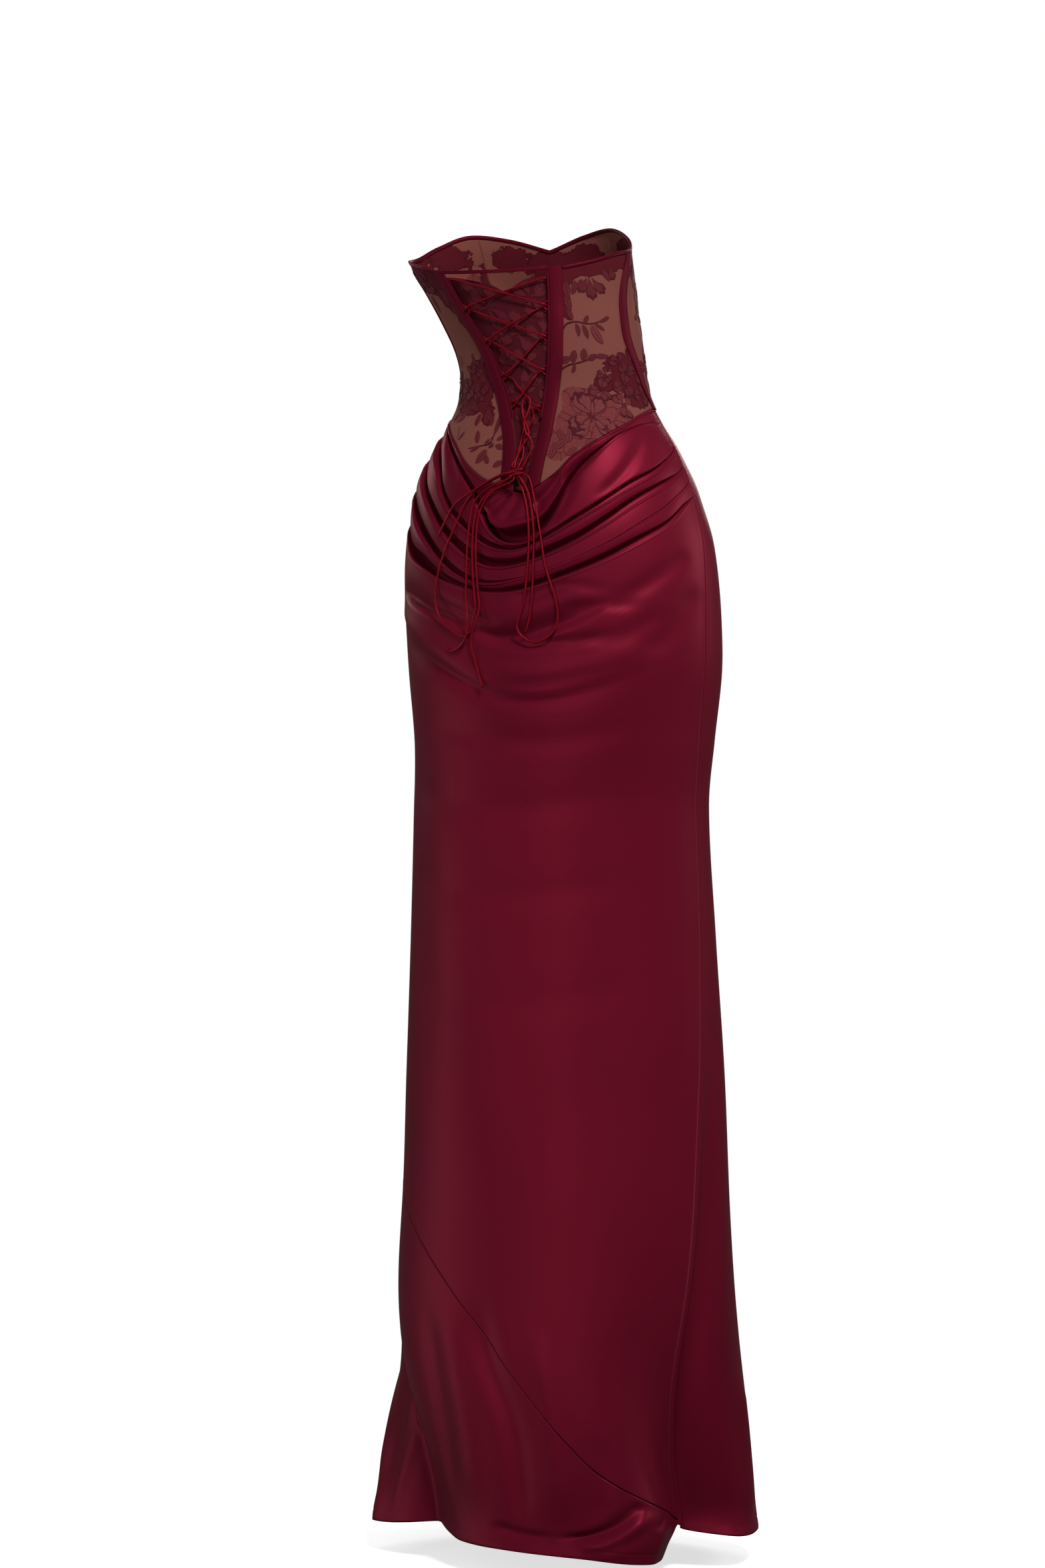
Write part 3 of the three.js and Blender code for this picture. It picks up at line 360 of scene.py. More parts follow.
class Finish:
    """A material with one Principled shader, and methods that add nodes to it."""

    def __init__(self, name):
        self.material = bpy.data.materials.new(name)
        self.material.use_nodes = True
        self.tree = self.material.node_tree
        self.shader = self.tree.nodes["Principled BSDF"]

    def plug(self, node, inputs):
        """Link a field to each named or numbered input, or write a plain value in it."""
        for key, value in inputs.items():
            socket = node.inputs[key.replace("_", " ") if isinstance(key, str) else key]
            if isinstance(value, Field):
                self.tree.links.new(value.socket, socket)
            else:
                socket.default_value = value

    def add(self, kind, settings=None, *values, output=0, **named):
        """A node of a kind, its settings first and then its inputs, in order or by name."""
        node = self.tree.nodes.new(kind)
        for key, value in (settings or {}).items():
            setattr(node, key, value)
        self.plug(node, {**dict(enumerate(values)), **named})
        return Field(self, node.outputs[output])

    def set(self, **values):
        """Sockets of the main shader, as plain values or as fields."""
        self.plug(self.shader, values)

    def uv(self):
        return self.add("ShaderNodeTexCoord", output="UV")

    def place(self):
        return self.add("ShaderNodeTexCoord", output="Object")

    def mask(self, name):
        return self.add("ShaderNodeAttribute", {"attribute_name": name}, output="Fac")

    def stretched(self, vector, scale):
        return self.add("ShaderNodeMapping", None, Vector=vector, Scale=scale)

    def noise(self, vector, scale, detail=2.0):
        return self.add("ShaderNodeTexNoise", None, Vector=vector, Scale=scale, Detail=detail)

    def noise_colour(self, vector, scale):
        """Three noises at once, about a half each."""
        return self.add("ShaderNodeTexNoise", None, Vector=vector, Scale=scale, output="Color")

    def cells(self, vector, scale, feature="F1"):
        """Distances to the middles of scattered cells, or to their edges."""
        return self.add("ShaderNodeTexVoronoi", {"feature": feature}, Vector=vector, Scale=scale)

    def mix(self, factor, first, second):
        """A colour between two others. A mix node's sockets for colours are numbered."""
        node = self.tree.nodes.new("ShaderNodeMix")
        node.data_type = "RGBA"
        self.plug(node, {0: factor, 6: first, 7: second})
        return Field(self, node.outputs[2])

    def bump(self, height, distance, strength=1.0):
        """A relief of so many metres on the main shader's normal."""
        self.set(Normal=self.add("ShaderNodeBump", None, Strength=strength, Distance=distance,
                                 Height=height))


def colour(red, green, blue):
    """A linear colour from the usual 0 to 255 screen values."""
    value = np.array([red, green, blue]) / 255
    linear = np.where(value <= 0.04045, value / 12.92, ((value + 0.055) / 1.055) ** 2.4)
    return (*linear.tolist(), 1.0)


# %% [markdown]
# ## Cords first
# The lacing and the bow are one kind of thin satin cord. A tube is a ring carried along a
# smooth line through the route's points. The routes repeat those of the solids.

# %% Cord helpers
CORD = 2.2      # the cord's thickness
ON_CLOTH = 2.2  # how far out its middle lies where it rests on the folds


def run_through(points, per=6):
    """A smooth line through points: each piece is a cubic whose end slopes are half the step
    between the neighbours."""
    p = np.asarray(points, float)
    ends = np.concatenate([[2 * p[0] - p[1]], p, [2 * p[-1] - p[-2]]])
    a, b, c, d = ends[:-3], ends[1:-2], ends[2:-1], ends[3:]
    s = (np.arange(per) / per).reshape((1, per) + (1,) * (p.ndim - 1))
    a, b, c, d = (x[:, None] for x in (a, b, c, d))
    fine = 0.5 * (2 * b + (c - a) * s + (2 * a - 5 * b + 4 * c - d) * s ** 2
                  + (3 * b - a - 3 * c + d) * s ** 3)
    return np.concatenate([fine.reshape((-1,) + p.shape[1:]), p[-1:]])


def tube_frames(path):
    """Two directions across the path at each point, carried along it without twisting."""
    along = np.gradient(path, axis=0)
    along /= np.linalg.norm(along, axis=1, keepdims=True)
    side = np.cross(along[0], (0.3, 0.5, 0.8))
    sides = []
    for direction in along:
        side = side - direction * np.dot(side, direction)
        side = side / np.linalg.norm(side)
        sides.append(side)
    sides = np.array(sides)
    return sides, np.cross(along, sides)


def tube(name, path, radius, ring=12):
    """A round tube of cord along a path: each ring is the path's point plus its two side
    directions times the cosine and sine of the turn. The ends close to a point."""
    sides, ups = tube_frames(path)
    turn = np.linspace(0, 2 * np.pi, ring + 1)[:, None, None]
    path, sides, ups = (np.concatenate([x[:1], x, x[-1:]]) for x in (path, sides, ups))
    scale = np.full(len(path), radius * MM)
    scale[[0, -1]] = 1e-5
    points = path + (np.cos(turn) * sides + np.sin(turn) * ups) * scale[:, None]
    return mesh_piece(name, points, grid_quads(ring + 1, len(path)), metre_map(points), CORD_SATIN)


def cord_finish():
    """Satin rat-tail cord: fine slanting threads along the tube."""
    cord = Finish("cord satin")
    uv = cord.uv()
    threads = (uv.part("X") * 2600 + uv.part("Y") * 1500).sine()
    shade = cord.noise(cord.place(), 60)
    cord.set(Base_Color=cord.mix(shade, colour(116, 8, 27), colour(148, 16, 36)), Roughness=0.42,
             Metallic=0.3, Specular_IOR_Level=0.25, Specular_Tint=colour(255, 150, 150))
    cord.bump(threads, 0.00002, 0.4)
    return cord.material


CORD_SATIN = cord_finish()

# %% [markdown]
# The bow is tied in the lacing's long ends. It has two drooping loops and four loose ends,
# which hang down over the folds of the hips and follow them in and out.

# %% Bow routes
# places on the form: angle, height and, where it isn't ON_CLOTH, the distance out
KNOT = {"place": (1, -104, 5.8), "radius": (6.5, 3.4, 4.2)}
TAIL_SHORT = [
    (-3.5, -105, 9.2), (-6, -107.5, 8.7), (-8.5, -110.5, 8.1), (-11.2, -114, 7.6), (-13.8, -118, 7),
    (-16.4, -121.6, 6.4), (-18.9, -125, 5.8), (-21.2, -128, 5), (-23.2, -130.8, 4.3),
    (-25.1, -133.8, 3.5), (-26.7, -137, 3), (-28.2, -141.5, 2.5), (-29.5, -147), (-31, -154),
    (-32.5, -161.5), (-33.9, -169),
]
LOOP_LEFT = [
    (-3.9, -105.8, 4.9), (-9, -111.5, 4.8), (-13.6, -117.5, 4.2), (-17.6, -125, 3.2), (-21.7, -137, 2.3),
    (-25.9, -162), (-29.4, -183), (-32.5, -205), (-34.3, -222), (-34.9, -237), (-33.9, -251),
    (-30.6, -263), (-26.5, -271), (-22.9, -276.6), (-20.2, -277.8), (-18.2, -272.5), (-16.9, -262),
    (-15.6, -247), (-15.9, -233), (-16.3, -215), (-16.8, -192), (-16.9, -167), (-16.1, -147),
    (-13.8, -133, 2.3), (-9, -121.5, 2.9), (-5.2, -115.5, 3.6), (-2.6, -111.8, 4.4),
]
TAIL_CURLED = [
    (-2.2, -111.8, 9.4), (-6.5, -115, 7), (-10.8, -120, 4.9), (-14.6, -127, 3.3), (-17.3, -136, 2.3),
    (-18.4, -150), (-19, -174), (-19.1, -195), (-19.2, -215), (-19.5, -233, 2.4), (-19, -250, 3.4),
    (-18.4, -262, 4.9), (-18.7, -272, 5), (-20.2, -282, 4.9), (-23, -289.5, 3.9), (-27.3, -293.5, 2.6),
    (-29.8, -290.5),
]
TAIL_LONG = [
    (-0.3, -113, 6.6), (-3.8, -117.5, 6.5), (-8, -123, 5.7), (-11.3, -131, 4.3), (-13.6, -141, 3),
    (-14.8, -152, 2.3), (-15.3, -168), (-15.2, -192), (-14.7, -215), (-14.3, -233), (-13.9, -246, 2.6),
    (-14.3, -256, 3.9), (-15.6, -266, 5), (-17, -277, 5), (-17.4, -290, 4), (-16.6, -304, 2.6),
    (-15.5, -318), (-14.2, -333),
]
LOOP_RIGHT = [
    (1.9, -113, 4.4), (3.2, -122, 3.4), (4.2, -133, 2.6), (4.9, -147), (5.2, -169), (5.1, -187),
    (4.7, -205), (3.8, -228), (2.6, -246), (1, -260), (0.2, -269), (1.6, -278), (4.9, -284.6),
    (8.7, -284), (12.6, -276), (14.7, -262), (14.6, -247), (13.6, -232), (11.9, -215), (10.6, -197),
    (9.6, -175), (8.8, -156), (8.1, -140, 2.6), (7.4, -127, 3.4), (6.8, -116, 4.4), (5.6, -108, 5.2),
]
TAIL_INNER = [
    (3.4, -112, 7.8), (4.9, -120, 5.9), (6, -131, 4), (6.5, -145, 2.6), (7, -165), (7, -180), (6.9, -193),
    (6.7, -205), (6.5, -217), (6.2, -229), (5.8, -240), (5.3, -251), (4.6, -262), (3.8, -270),
    (3.1, -274.5),
]
knot_centre = on_form(*KNOT["place"])


def off_knot(towards):
    """The point just off the knot's surface on the way to another point."""
    away = towards - knot_centre
    reach = 1 / np.linalg.norm(away / (np.array(KNOT["radius"]) * MM))
    return knot_centre + away * reach + away / np.linalg.norm(away) * 0.3 * MM


def route(places, start=True, end=False):
    """A cord's line in metres through places on the form, from the knot or back to it."""
    points = on_form(*np.array([(*place, ON_CLOTH)[:3] for place in places], float).T)
    parts = [off_knot(points[0])[None]] if start else []
    parts += [points] + ([off_knot(points[-1])[None]] if end else [])
    return run_through(np.concatenate(parts), 5)


def free_cord(node, places, far_end):
    """One loop or loose end of the bow, as a tube of cord. A loop ends at the knot."""
    path = route(places, end=far_end == "object")
    piece = tube(f"{node}_cord", path, CORD / 2)
    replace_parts(piece, node)


free_cord("bow_loop_left", LOOP_LEFT, "object")
free_cord("bow_loop_right", LOOP_RIGHT, "object")
free_cord("tail_short", TAIL_SHORT, "bare")
free_cord("tail_curled", TAIL_CURLED, "bare")
free_cord("tail_long", TAIL_LONG, "bare")
free_cord("tail_inner", TAIL_INNER, "bare")

# %% [markdown]
# The lacing zigzags between small cord loops sewn along both edges of the opening. At each
# loop it goes over the loop's bend, down through its eye and back under it.

# %% Lacing
# millimetres: the loops' heights, the tape's size and its ends
LOOP_HEIGHTS = {"left": (77, 41, 3, -27), "right": (77, 43, 7, -33)}
TAPE = {"width": 2.4, "rise": 1.1, "top": 112.0, "bottom": -44.0}
LOOP_CORD, LOOP_REACH, GAP = 1.6, 4.8, 0.3  # the loops' cord and reach, the room round a part
LACING_LEFT = {
    "start": [(-30.7, 110.5, 0), (-26.5, 109.6, 0.5)], "first": "right", "crossing": 1.4,
    "tail": [(-2.2, -38, -2), (-0.4, -46, -1.8), (1, -56, -1.7), (0.6, -68, -1.6), (0.1, -80, -0.6),
             (-0.1, -88, 1.4), (-1.3, -96, 3.9)],
}
LACING_RIGHT = {
    "start": [(25.8, 106.5, 0), (22, 105.4, -0.5)], "first": "left", "crossing": -1.4,
    "tail": [(6.4, -44, 1.1), (4.4, -54, 1.1), (2.8, -64, 1.1), (2.4, -75, 1.2), (2.8, -86, 2.4),
             (1.9, -96, 4.6)],
}
LACING_MIDDLE = [
    (0.4, -97, 7.4), (0.9, -86, 5.4), (2.6, -74, 4.2), (4.8, -64, 3.9), (3.4, -52, 3.9), (0.9, -40, 3.9),
    (0.2, -31, 4.2), (0.9, -24.6, 4.7), (2.5, -21.5, 5.1), (4.2, -24, 5.3), (4.6, -32, 5.4), (3.6, -42, 6.6),
    (2.6, -50, 6.7), (3.6, -60, 6.6), (6.4, -70, 4.8), (6.4, -81, 4.6), (4.9, -90, 5.4), (3.8, -97, 6),
]


def loop_turn(opening, middle, side):
    """The places of the cord's turn through one loop. Each step has a distance beside the
    edge, one above the loop's middle and one out."""
    bend = GAP + TAPE["width"] - LOOP_CORD / 2 + LOOP_REACH
    clear = LOOP_CORD / 2 + CORD / 2 + 1.8 * GAP
    steps = [(bend + 6, 3.2, clear + 0.2), (bend + 0.3, 1.2, clear + 0.2),
             (bend - clear * 0.8, 0.4, clear * 0.7), (bend - clear - 0.1, 0, 0),
             (bend - clear * 0.8, -0.4, -clear * 0.7), (bend + 0.3, -1.2, -clear - 0.2),
             (bend + 6, -3.2, -clear)]
    return [(float(beside(opening, middle + rise, side * q)), middle + rise, out)
            for q, rise, out in steps]


def lacing(start, first, crossing, tail):
    """The places of one run of lacing, which follows the body between its loops."""
    places = list(start)
    for row in range(4):
        left = (row % 2 == 0) == (first == "left")
        middle = LOOP_HEIGHTS["left" if left else "right"][row]
        turn = loop_turn(left_opening if left else right_opening, middle, 1 if left else -1)
        before = np.array(places[-1])
        for s in (0.25, 0.5, 0.75):
            step = lerp(before, np.array(turn[0]), s)
            step[2] = lerp(step[2], crossing, math.sin(math.pi * s))
            places.append(tuple(step))
        places += turn
    return places + list(tail)


for side, run in (("left", LACING_LEFT), ("right", LACING_RIGHT)):
    lace_path = route(lacing(**run), start=False, end=True)
    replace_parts(tube(f"lacing_{side}_cord", lace_path, CORD / 2), f"lacing_{side}")
    print("lacing", side, "length", round(walked(lace_path), 3))
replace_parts(tube("lacing_middle_cord", route(LACING_MIDDLE, end=True), CORD / 2), "lacing_middle")

# %% [markdown]
# The knot is several turns of the cord drawn tight round the place where the bow's strands
# meet.

# %% Knot
# each turn: its middle above the knot's, its tilt, half width, half depth, and where it starts
KNOT_TURNS = [(2.3, 0.8, 4.4, 2.2, 0), (0.1, -1.0, 5.2, 2.4, 30), (-2.2, 0.9, 4.5, 2.2, 60)]
KNOT_RADIUS = 1.25


def knot_turn(lift, tilt, wide, deep, start):
    """One turn of cord round the knot: an ellipse across and outwards, tilted."""
    turn = np.radians(start + np.linspace(0, 360, 40))
    angle, height, out = KNOT["place"]
    return on_form(angle + wide * np.cos(turn) / HIP_SCALE, height + lift + tilt * np.cos(turn),
                   out + deep * np.sin(turn))


for k, row in enumerate(KNOT_TURNS):
    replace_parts(tube(f"knot_turn_{k}", knot_turn(*row), KNOT_RADIUS), "bow_knot")
print("knot turns", len(KNOT_TURNS))

# %% [markdown]
# ## The satin
# Heavy bridal satin is smooth, with a soft, broad shine and almost no visible weave. Its
# colour deepens in the hollows. The finish has a very fine warp, broad uneven rippling, and
# a slightly changing shine.

# %% Satin finish
def satin_finish(name, dark, light, shine):
    """Smooth cloth with a fine warp and soft uneven relief. Part of the shine takes the cloth's own colour,
    as it does on dyed satin. A painted highlight makes the cloth paler along the side seams and a painted
    shade makes it dark along the diagonal seam, where the two seam masks say so."""
    satin = Finish(name)
    place, uv = satin.place(), satin.uv()
    broad = satin.noise(satin.stretched(place, (5, 5, 2.2)), 1.0, 2.0)
    ripple = satin.noise(satin.stretched(place, (8, 8, 20)), 1.0, 2.0)
    warp = (uv.part("X") * 9000).sine() * 0.5 + (uv.part("Y") * 4000).sine() * 0.25
    worn = satin.mix(broad.ramp(0.3, 0.7), dark, light)
    # painted highlight: a pale line along each side seam where its edge catches the light
    painted_seam_highlight = satin.mix(satin.mask("edge") * 0.5, worn, colour(205, 110, 130))
    # painted shade: a dark line along the diagonal seam, the shade in its join
    painted_seam_shade = satin.mix(satin.mask("painted_seam_shade") * 0.85, painted_seam_highlight, colour(30, 2, 8))
    satin.set(Base_Color=painted_seam_shade, Metallic=0.25, Roughness=broad * 0.06 + shine,
              Specular_IOR_Level=0.18, Specular_Tint=colour(255, 120, 135))
    satin.bump(ripple * 0.00012 + broad * 0.0003 + warp * 0.00001, 1.0)
    return satin.material


SATIN = satin_finish("burgundy satin", colour(103, 15, 37), colour(121, 21, 44), 0.4)
TRIM_SATIN = satin_finish("burgundy trim satin", colour(82, 9, 28), colour(98, 13, 33), 0.48)

# %% [markdown]
# The back of the skirt is one width of satin, swagged from hip to hip. Each fold is a soft
# pocket that opens upwards: the cloth falls in behind the next lip, turns at the bottom of
# the pocket and rolls out over the lip. A cowl like this is made by adding length on the
# bias; here each fold is a few rows of points, and a smooth line runs down through them.

# %% Folds of the back
# the heights of the folds' lips at these angles
FOLD_ANGLES = (-96, -72, -58, -44, -32, -20, -10, 0, 10, 22, 34, 48, 62, 76, 96)
LIPS = (
    (-38, -43, -51, -72, -92, -123, -168, -180, -167, -118, -88, -66, -55, -49, -43),
    (-52, -58, -76, -99, -138, -165, -183, -187, -176, -157, -139, -119, -104, -88, -68),
    (-72, -86, -108, -140, -169, -192, -204, -203, -194, -179, -160, -138, -121, -107, -86),
    (-104, -122, -149, -175, -199, -217, -222, -218, -210, -196, -180, -159, -141, -123, -102),
    (-140, -160, -188, -204, -217, -227, -232, -231, -223, -211, -197, -178, -160, -138, -118),
)
# each fold's depth on the left hip, in the middle and on the right hip. It fades to nothing
# at the side seams, at the first and the last of these angles.
FOLD_DEPTHS = ((6, 20, 4), (13, 6, 9), (15, 11, 11), (17, 1, 1), (18, 15, 10))
DEPTH_ANGLES = (-90, -78, -54, 0, 44, 70, 86)
SWAG_MIDDLE, SWAG_WIDE = -1, 15  # the topmost fold hangs over as a swag under the knot
# down a fold: share of the way from the lip above to the bend, share of the depth, mm proud
SLOPE = ((0.1, 0.0, 0.5), (0.32, 0.0, 0.5), (0.62, 0.03, 0.35), (0.86, 0.08, 0.1))
# in the bend: share of its height above the next lip, share of the depth, the same where the
# cloth hangs over as a swag, and mm proud there
BEND = ((1.0, 0.14, -0.02, 1.3), (0.8, 0.36, 0.12, 1.2), (0.62, 0.68, 0.62, 0.3),
        (0.46, 0.9, 0.9, 0.0), (0.3, 1.0, 1.0, 0.0))
# in the pocket and over its lip: share of its drop, share of the depth, mm proud
POCKET = ((0.4, 1.0, 0.0), (-0.6, 0.97, 0.0), (-0.95, 0.7, 0.0), (-0.3, 0.3, 0.0),
          (0.12, 0.05, 0.1), (-0.7, -0.01, 0.35))


def lip_height(k, angle):
    return smooth(FOLD_ANGLES, LIPS[k], angle)


def fold_rows(k):
    """The rows of fold k, from the lip above down to its own, as functions of the angle that
    give a height and a distance out. The cloth bends in where it nears the next lip: the
    bend is as high as four fifths of the fold's depth and a little, or half the gap."""
    def facts(angle):
        """The next lip's height, the gap down to it, the fold's depth, which is at most 0.6 of
        the gap, the bend's height, and how far the cloth is a swag here, from 0 to 1."""
        lip = lip_height(k, angle)
        gap = (lip_height(k - 1, angle) if k else basque_edge(angle)) - lip
        left, middle, right = FOLD_DEPTHS[k]
        depth = smooth(DEPTH_ANGLES, (0, 0.5 * left, left, middle, right, 0.5 * right, 0), angle)
        depth = np.clip(depth, 0, 0.6 * gap)
        bend = np.minimum(0.5 * gap, 0.8 * depth + 0.6)
        swag = bell(angle, SWAG_MIDDLE, SWAG_WIDE) if k == 0 else 0 * angle
        bend = bend * lerp(1.0, lerp(0.55, 1.4, ease(angle, -13, 3)), swag)
        return lip, gap, depth, bend, swag

    def slope(down, deep, proud):
        def row(angle):
            lip, gap, depth, bend, swag = facts(angle)
            return lip + gap - down * (gap - bend), proud * (1 + 1.2 * swag * down) - deep * depth
        return row

    def turn_in(up, deep, hung, proud):
        def row(angle):
            lip, _, depth, bend, swag = facts(angle)
            return lip + up * bend, proud * swag - lerp(deep, hung, swag) * depth
        return row

    def roll(up, deep, proud):
        def row(angle):
            lip, gap, depth, _, _ = facts(angle)
            return lip + up * np.minimum(3.0, 0.22 * gap), proud * ease(depth, 0, 3) - deep * depth
        return row

    return ([slope(*shares) for shares in SLOPE] + [turn_in(*shares) for shares in BEND]
            + [roll(*shares) for shares in POCKET])


print("rows per fold", [len(fold_rows(k)) for k in range(len(LIPS))])

# %% [markdown]
# Below the folds the cloth only dips in long shallow swags, and near the hem it flares. These
# are added as soft grooves: a groove runs along a few points, is deepest on its line and dies
# away to its sides and ends.

# %% Grooves and flare
FLARE_START, HEM = -880, -1231
# by the share of the way round: the hem's distance out and its height
back_hem_out, back_hem_height = curves([
    (0, -46, -1231), (0.09, -36, -1238), (0.17, -27, -1243), (0.37, -11, -1245), (0.57, 3, -1248),
    (0.7, 12, -1253), (0.79, 0, -1256), (0.85, -22, -1255), (0.935, -48, -1240), (1, -56, -1226),
])
front_hem_out, front_hem_height = curves([
    (0, -56, -1225), (0.033, -40, -1233), (0.082, -8, -1240), (0.143, 2, -1241), (0.265, 8, -1241),
    (0.36, -5, -1240), (0.43, 6, -1240), (0.51, -7, -1240), (0.6, 7, -1241), (0.7, -3, -1242),
    (0.857, 4, -1242), (0.89, -12, -1241), (0.933, -29, -1237), (0.97, -44, -1233), (1, -46, -1231),
])
# by angle: the height of the slanting seam above the lower back
(diagonal,) = curves([
    (-92, -828), (-75, -862), (-61, -887), (-36, -941), (-15, -1001), (6, -1079), (18, -1125),
    (28, -1159), (42, -1187), (58, -1208), (76, -1225),
])


def flare(angle, height):
    """The hem's wave, growing from nothing above the knee to its whole size at the hem."""
    left, right = left_seam(height), right_seam(height)
    growth = ease(-height, -FLARE_START, -HEM) ** 1.5
    behind = (angle - left) / (right - left)
    before = (angle - right) / (360 + left - right)
    return growth * np.where(angle <= right, back_hem_out(behind), front_hem_out(before))


def back_hem(angle):
    return back_hem_height((angle - left_seam(HEM)) / (right_seam(HEM) - left_seam(HEM)))


def front_hem(angle):
    left, right = left_seam_round(HEM), right_seam(HEM)
    return front_hem_height((angle - right) / (left - right))


def groove(angle, height, line, depth, width, lip=1.0):
    """A soft groove or, where the depth is negative, a ridge: the depth times a bell curve of
    the distance from a smooth line, fading over the line's ends. Below a line that is drawn
    from left to right, the curve is narrower by the share lip, so that it ends in a crisp lip."""
    knots = run_through(line, 8)
    best = np.full(np.shape(angle), np.inf)
    share, side = np.zeros(np.shape(angle)), np.zeros(np.shape(angle))
    for k, (a, b) in enumerate(zip(knots[:-1], knots[1:])):
        run = (b - a) * (HIP_SCALE, 1)
        x, y = (angle - a[0]) * HIP_SCALE, height - a[1]
        s = np.clip((x * run[0] + y * run[1]) / (run @ run), 0, 1)
        away = np.hypot(x - s * run[0], y - s * run[1])
        nearer = away < best
        best = np.where(nearer, away, best)
        share = np.where(nearer, (k + s) / (len(knots) - 1), share)
        side = np.where(nearer, run[0] * y - run[1] * x, side)
    fade = ease(share, 0, 0.25) * (1 - ease(share, 0.75, 1))
    return -depth * fade * bell(best, 0, np.where(side < 0, width * lip, width))


# each groove: points (angle, height), depth, width, and the share lip where it isn't 1
# these shape the hips: the swags' lobes, then the small pleats under the knot and the point
HIP_GROOVES = [
    ([(-68, -222), (-58, -233), (-32, -259), (-10, -279), (5, -277), (24, -258), (36, -236)], 8.5, 13, 0.22),
    ([(-18, -272), (-6, -287), (14, -288), (24, -285), (38, -277)], 4.5, 8, 0.3),
    ([(-72, -262), (-56, -284), (-37, -306), (-12, -330), (6, -334), (26, -322), (46, -300)], 3, 12),
    ([(-78, -232), (-63, -257), (-37, -297), (-12, -331), (6, -339), (26, -327), (56, -296)], -3.4, 15, 0.3),
    ([(-60, -272), (-37, -306), (-12, -341), (6, -349), (26, -337), (44, -318)], 1.6, 7),
    ([(-44, -231), (-32, -243), (-20, -256), (-6, -268)], 2.4, 7, 0.4),
    ([(-4, -240), (6, -236), (17, -226), (27, -228), (36, -240)], 2.2, 6),
    ([(12, -254), (26, -247), (36, -247), (48, -244)], 2.0, 6),
    ([(22, -288), (34, -282), (46, -268), (58, -248)], 1.8, 8),
    ([(30, -250), (46, -228), (60, -205), (70, -186)], 2.6, 8),
    ([(44, -300), (56, -280), (66, -252), (74, -220)], 2.5, 10),
    ([(-20, -308), (4, -318), (30, -306), (50, -284)], -1.6, 9),
    ([(0, -118), (-4, -129), (-9, -141), (-15, -152)], 6, 3.4),
    ([(1, -118), (0, -134), (-3, -146), (-6, -158)], 4.5, 2.8),
    ([(5, -122), (8, -134), (9, -142), (6, -152)], 3, 2.8),
    ([(17, -100), (16, -114), (12, -127), (8, -137), (9, -148)], 6.5, 4.5),
    ([(38, -74), (30, -90), (23, -107), (20, -130), (13, -157), (4, -172)], 4, 4),
    ([(66, -60), (54, -86), (42, -112), (30, -136)], 2.4, 5),
    ([(-52, -56), (-42, -74), (-34, -92), (-26, -112)], 2.2, 3.5),
]
SKIRT_WAVES = [
    ([(-60, -360), (-56, -480), (-50, -640), (-46, -800)], 2.4, 24),
    ([(-34, -400), (-32, -560), (-28, -720), (-24, -900)], -2.2, 26),
    ([(-6, -380), (-2, -520), (0, -700), (4, -900)], 2.0, 24),
    ([(30, -360), (34, -520), (36, -700), (34, -920)], 2.4, 24),
    ([(60, -340), (62, -480), (60, -640), (56, -800)], -2.2, 24),
    ([(-70, -520), (-30, -548), (10, -552), (50, -530)], 1.4, 16),
    ([(-62, -640), (-24, -668), (16, -664), (50, -640)], 1.2, 20),
    ([(-76, -420), (-40, -450), (0, -462), (44, -440)], 1.6, 16),
    ([(-50, -360), (-20, -384), (14, -390), (52, -366)], 1.6, 12),
]
# the flutes of the lower back, and the crease above its kicked-out hem
LOW_WAVES = [
    ([(-14, -960), (-8, -1040), (1, -1110), (4, -1175), (5, -1238)], 6, 8),
    ([(8, -1000), (13, -1080), (16, -1150), (17, -1225)], -3.5, 7),
    ([(-26, -980), (-20, -1060), (-16, -1130), (-14, -1220)], -3, 9),
    ([(-36, -980), (-31, -1060), (-27, -1130), (-25, -1220)], 2.5, 8),
    ([(27, -1120), (29, -1160), (28, -1222)], 2.5, 6),
    ([(44, -980), (42, -1060), (42, -1130), (44, -1200)], 2.5, 9),
]
HEM_WAVES = [
    ([(-8, -1219), (4, -1227), (16, -1228)], 3, 5),
    ([(14, -1229), (24, -1225), (33, -1213), (40, -1192), (41, -1178)], 6, 4),
    ([(20, -1237), (28, -1233), (37, -1218), (45, -1196)], -4, 5),
    ([(46, -1222), (52, -1208), (58, -1197)], 4, 4),
    ([(-26, -1232), (-4, -1243), (16, -1246), (32, -1240), (46, -1222)], -2.5, 8),
]


def soft_cloth(places, grooves):
    """The sum of several grooves at each place."""
    return sum(groove(places[..., 0], places[..., 1], *row) for row in grooves)


# %% [markdown]
# The rows of all the folds and of the plain cloth below them are laid down one after another.
# Each column keeps its share of the way between the side seams, which swing as they go down.

# %% Back of the skirt
SEAM_ROOM = 0.15   # half the room between two panels
SATIN_WALL = 0.8
SATIN_COLUMNS, PLAIN_ROWS = 130, 136
FINE_ROWS = 3      # rows for each step down the folds


def settle(row, share):
    """A row's angle, height and distance out at each share of the way between the seams. The
    first guess is an even spread, and height and angle then settle in turn."""
    angle = lerp(-90.0, 88.0, share)
    for _ in range(6):
        height, out = row(angle)
        angle = lerp(left_seam(height), right_seam(height), share)
    height, out = row(angle)
    return np.stack([angle, height, out], axis=-1)


def edge_rows():
    """The satin's upper edge, turned over a narrow seam below the lace."""
    return [lambda angle, drop=drop, out=out: (basque_edge(angle) - drop, out + 0 * angle)
            for drop, out in ((0.15, -0.5), (0.6, 0.0), (1.6, 0.5), (3.2, 0.35))]


def plain_rows(count):
    """Rows from the last lip down to the diagonal seam, close together at first and again at
    the seam, where the cloth turns in."""
    def row_at(s):
        def row(angle):
            height = lerp(lip_height(-1, angle) - 3, diagonal(angle) + SEAM_ROOM, s)
            return height, flare(angle, height)
        return row
    shares = np.append(np.linspace(0, 0.988, count) ** 1.5, (0.99, 0.996, 0.9985, 1))
    return [row_at(s) for s in shares]


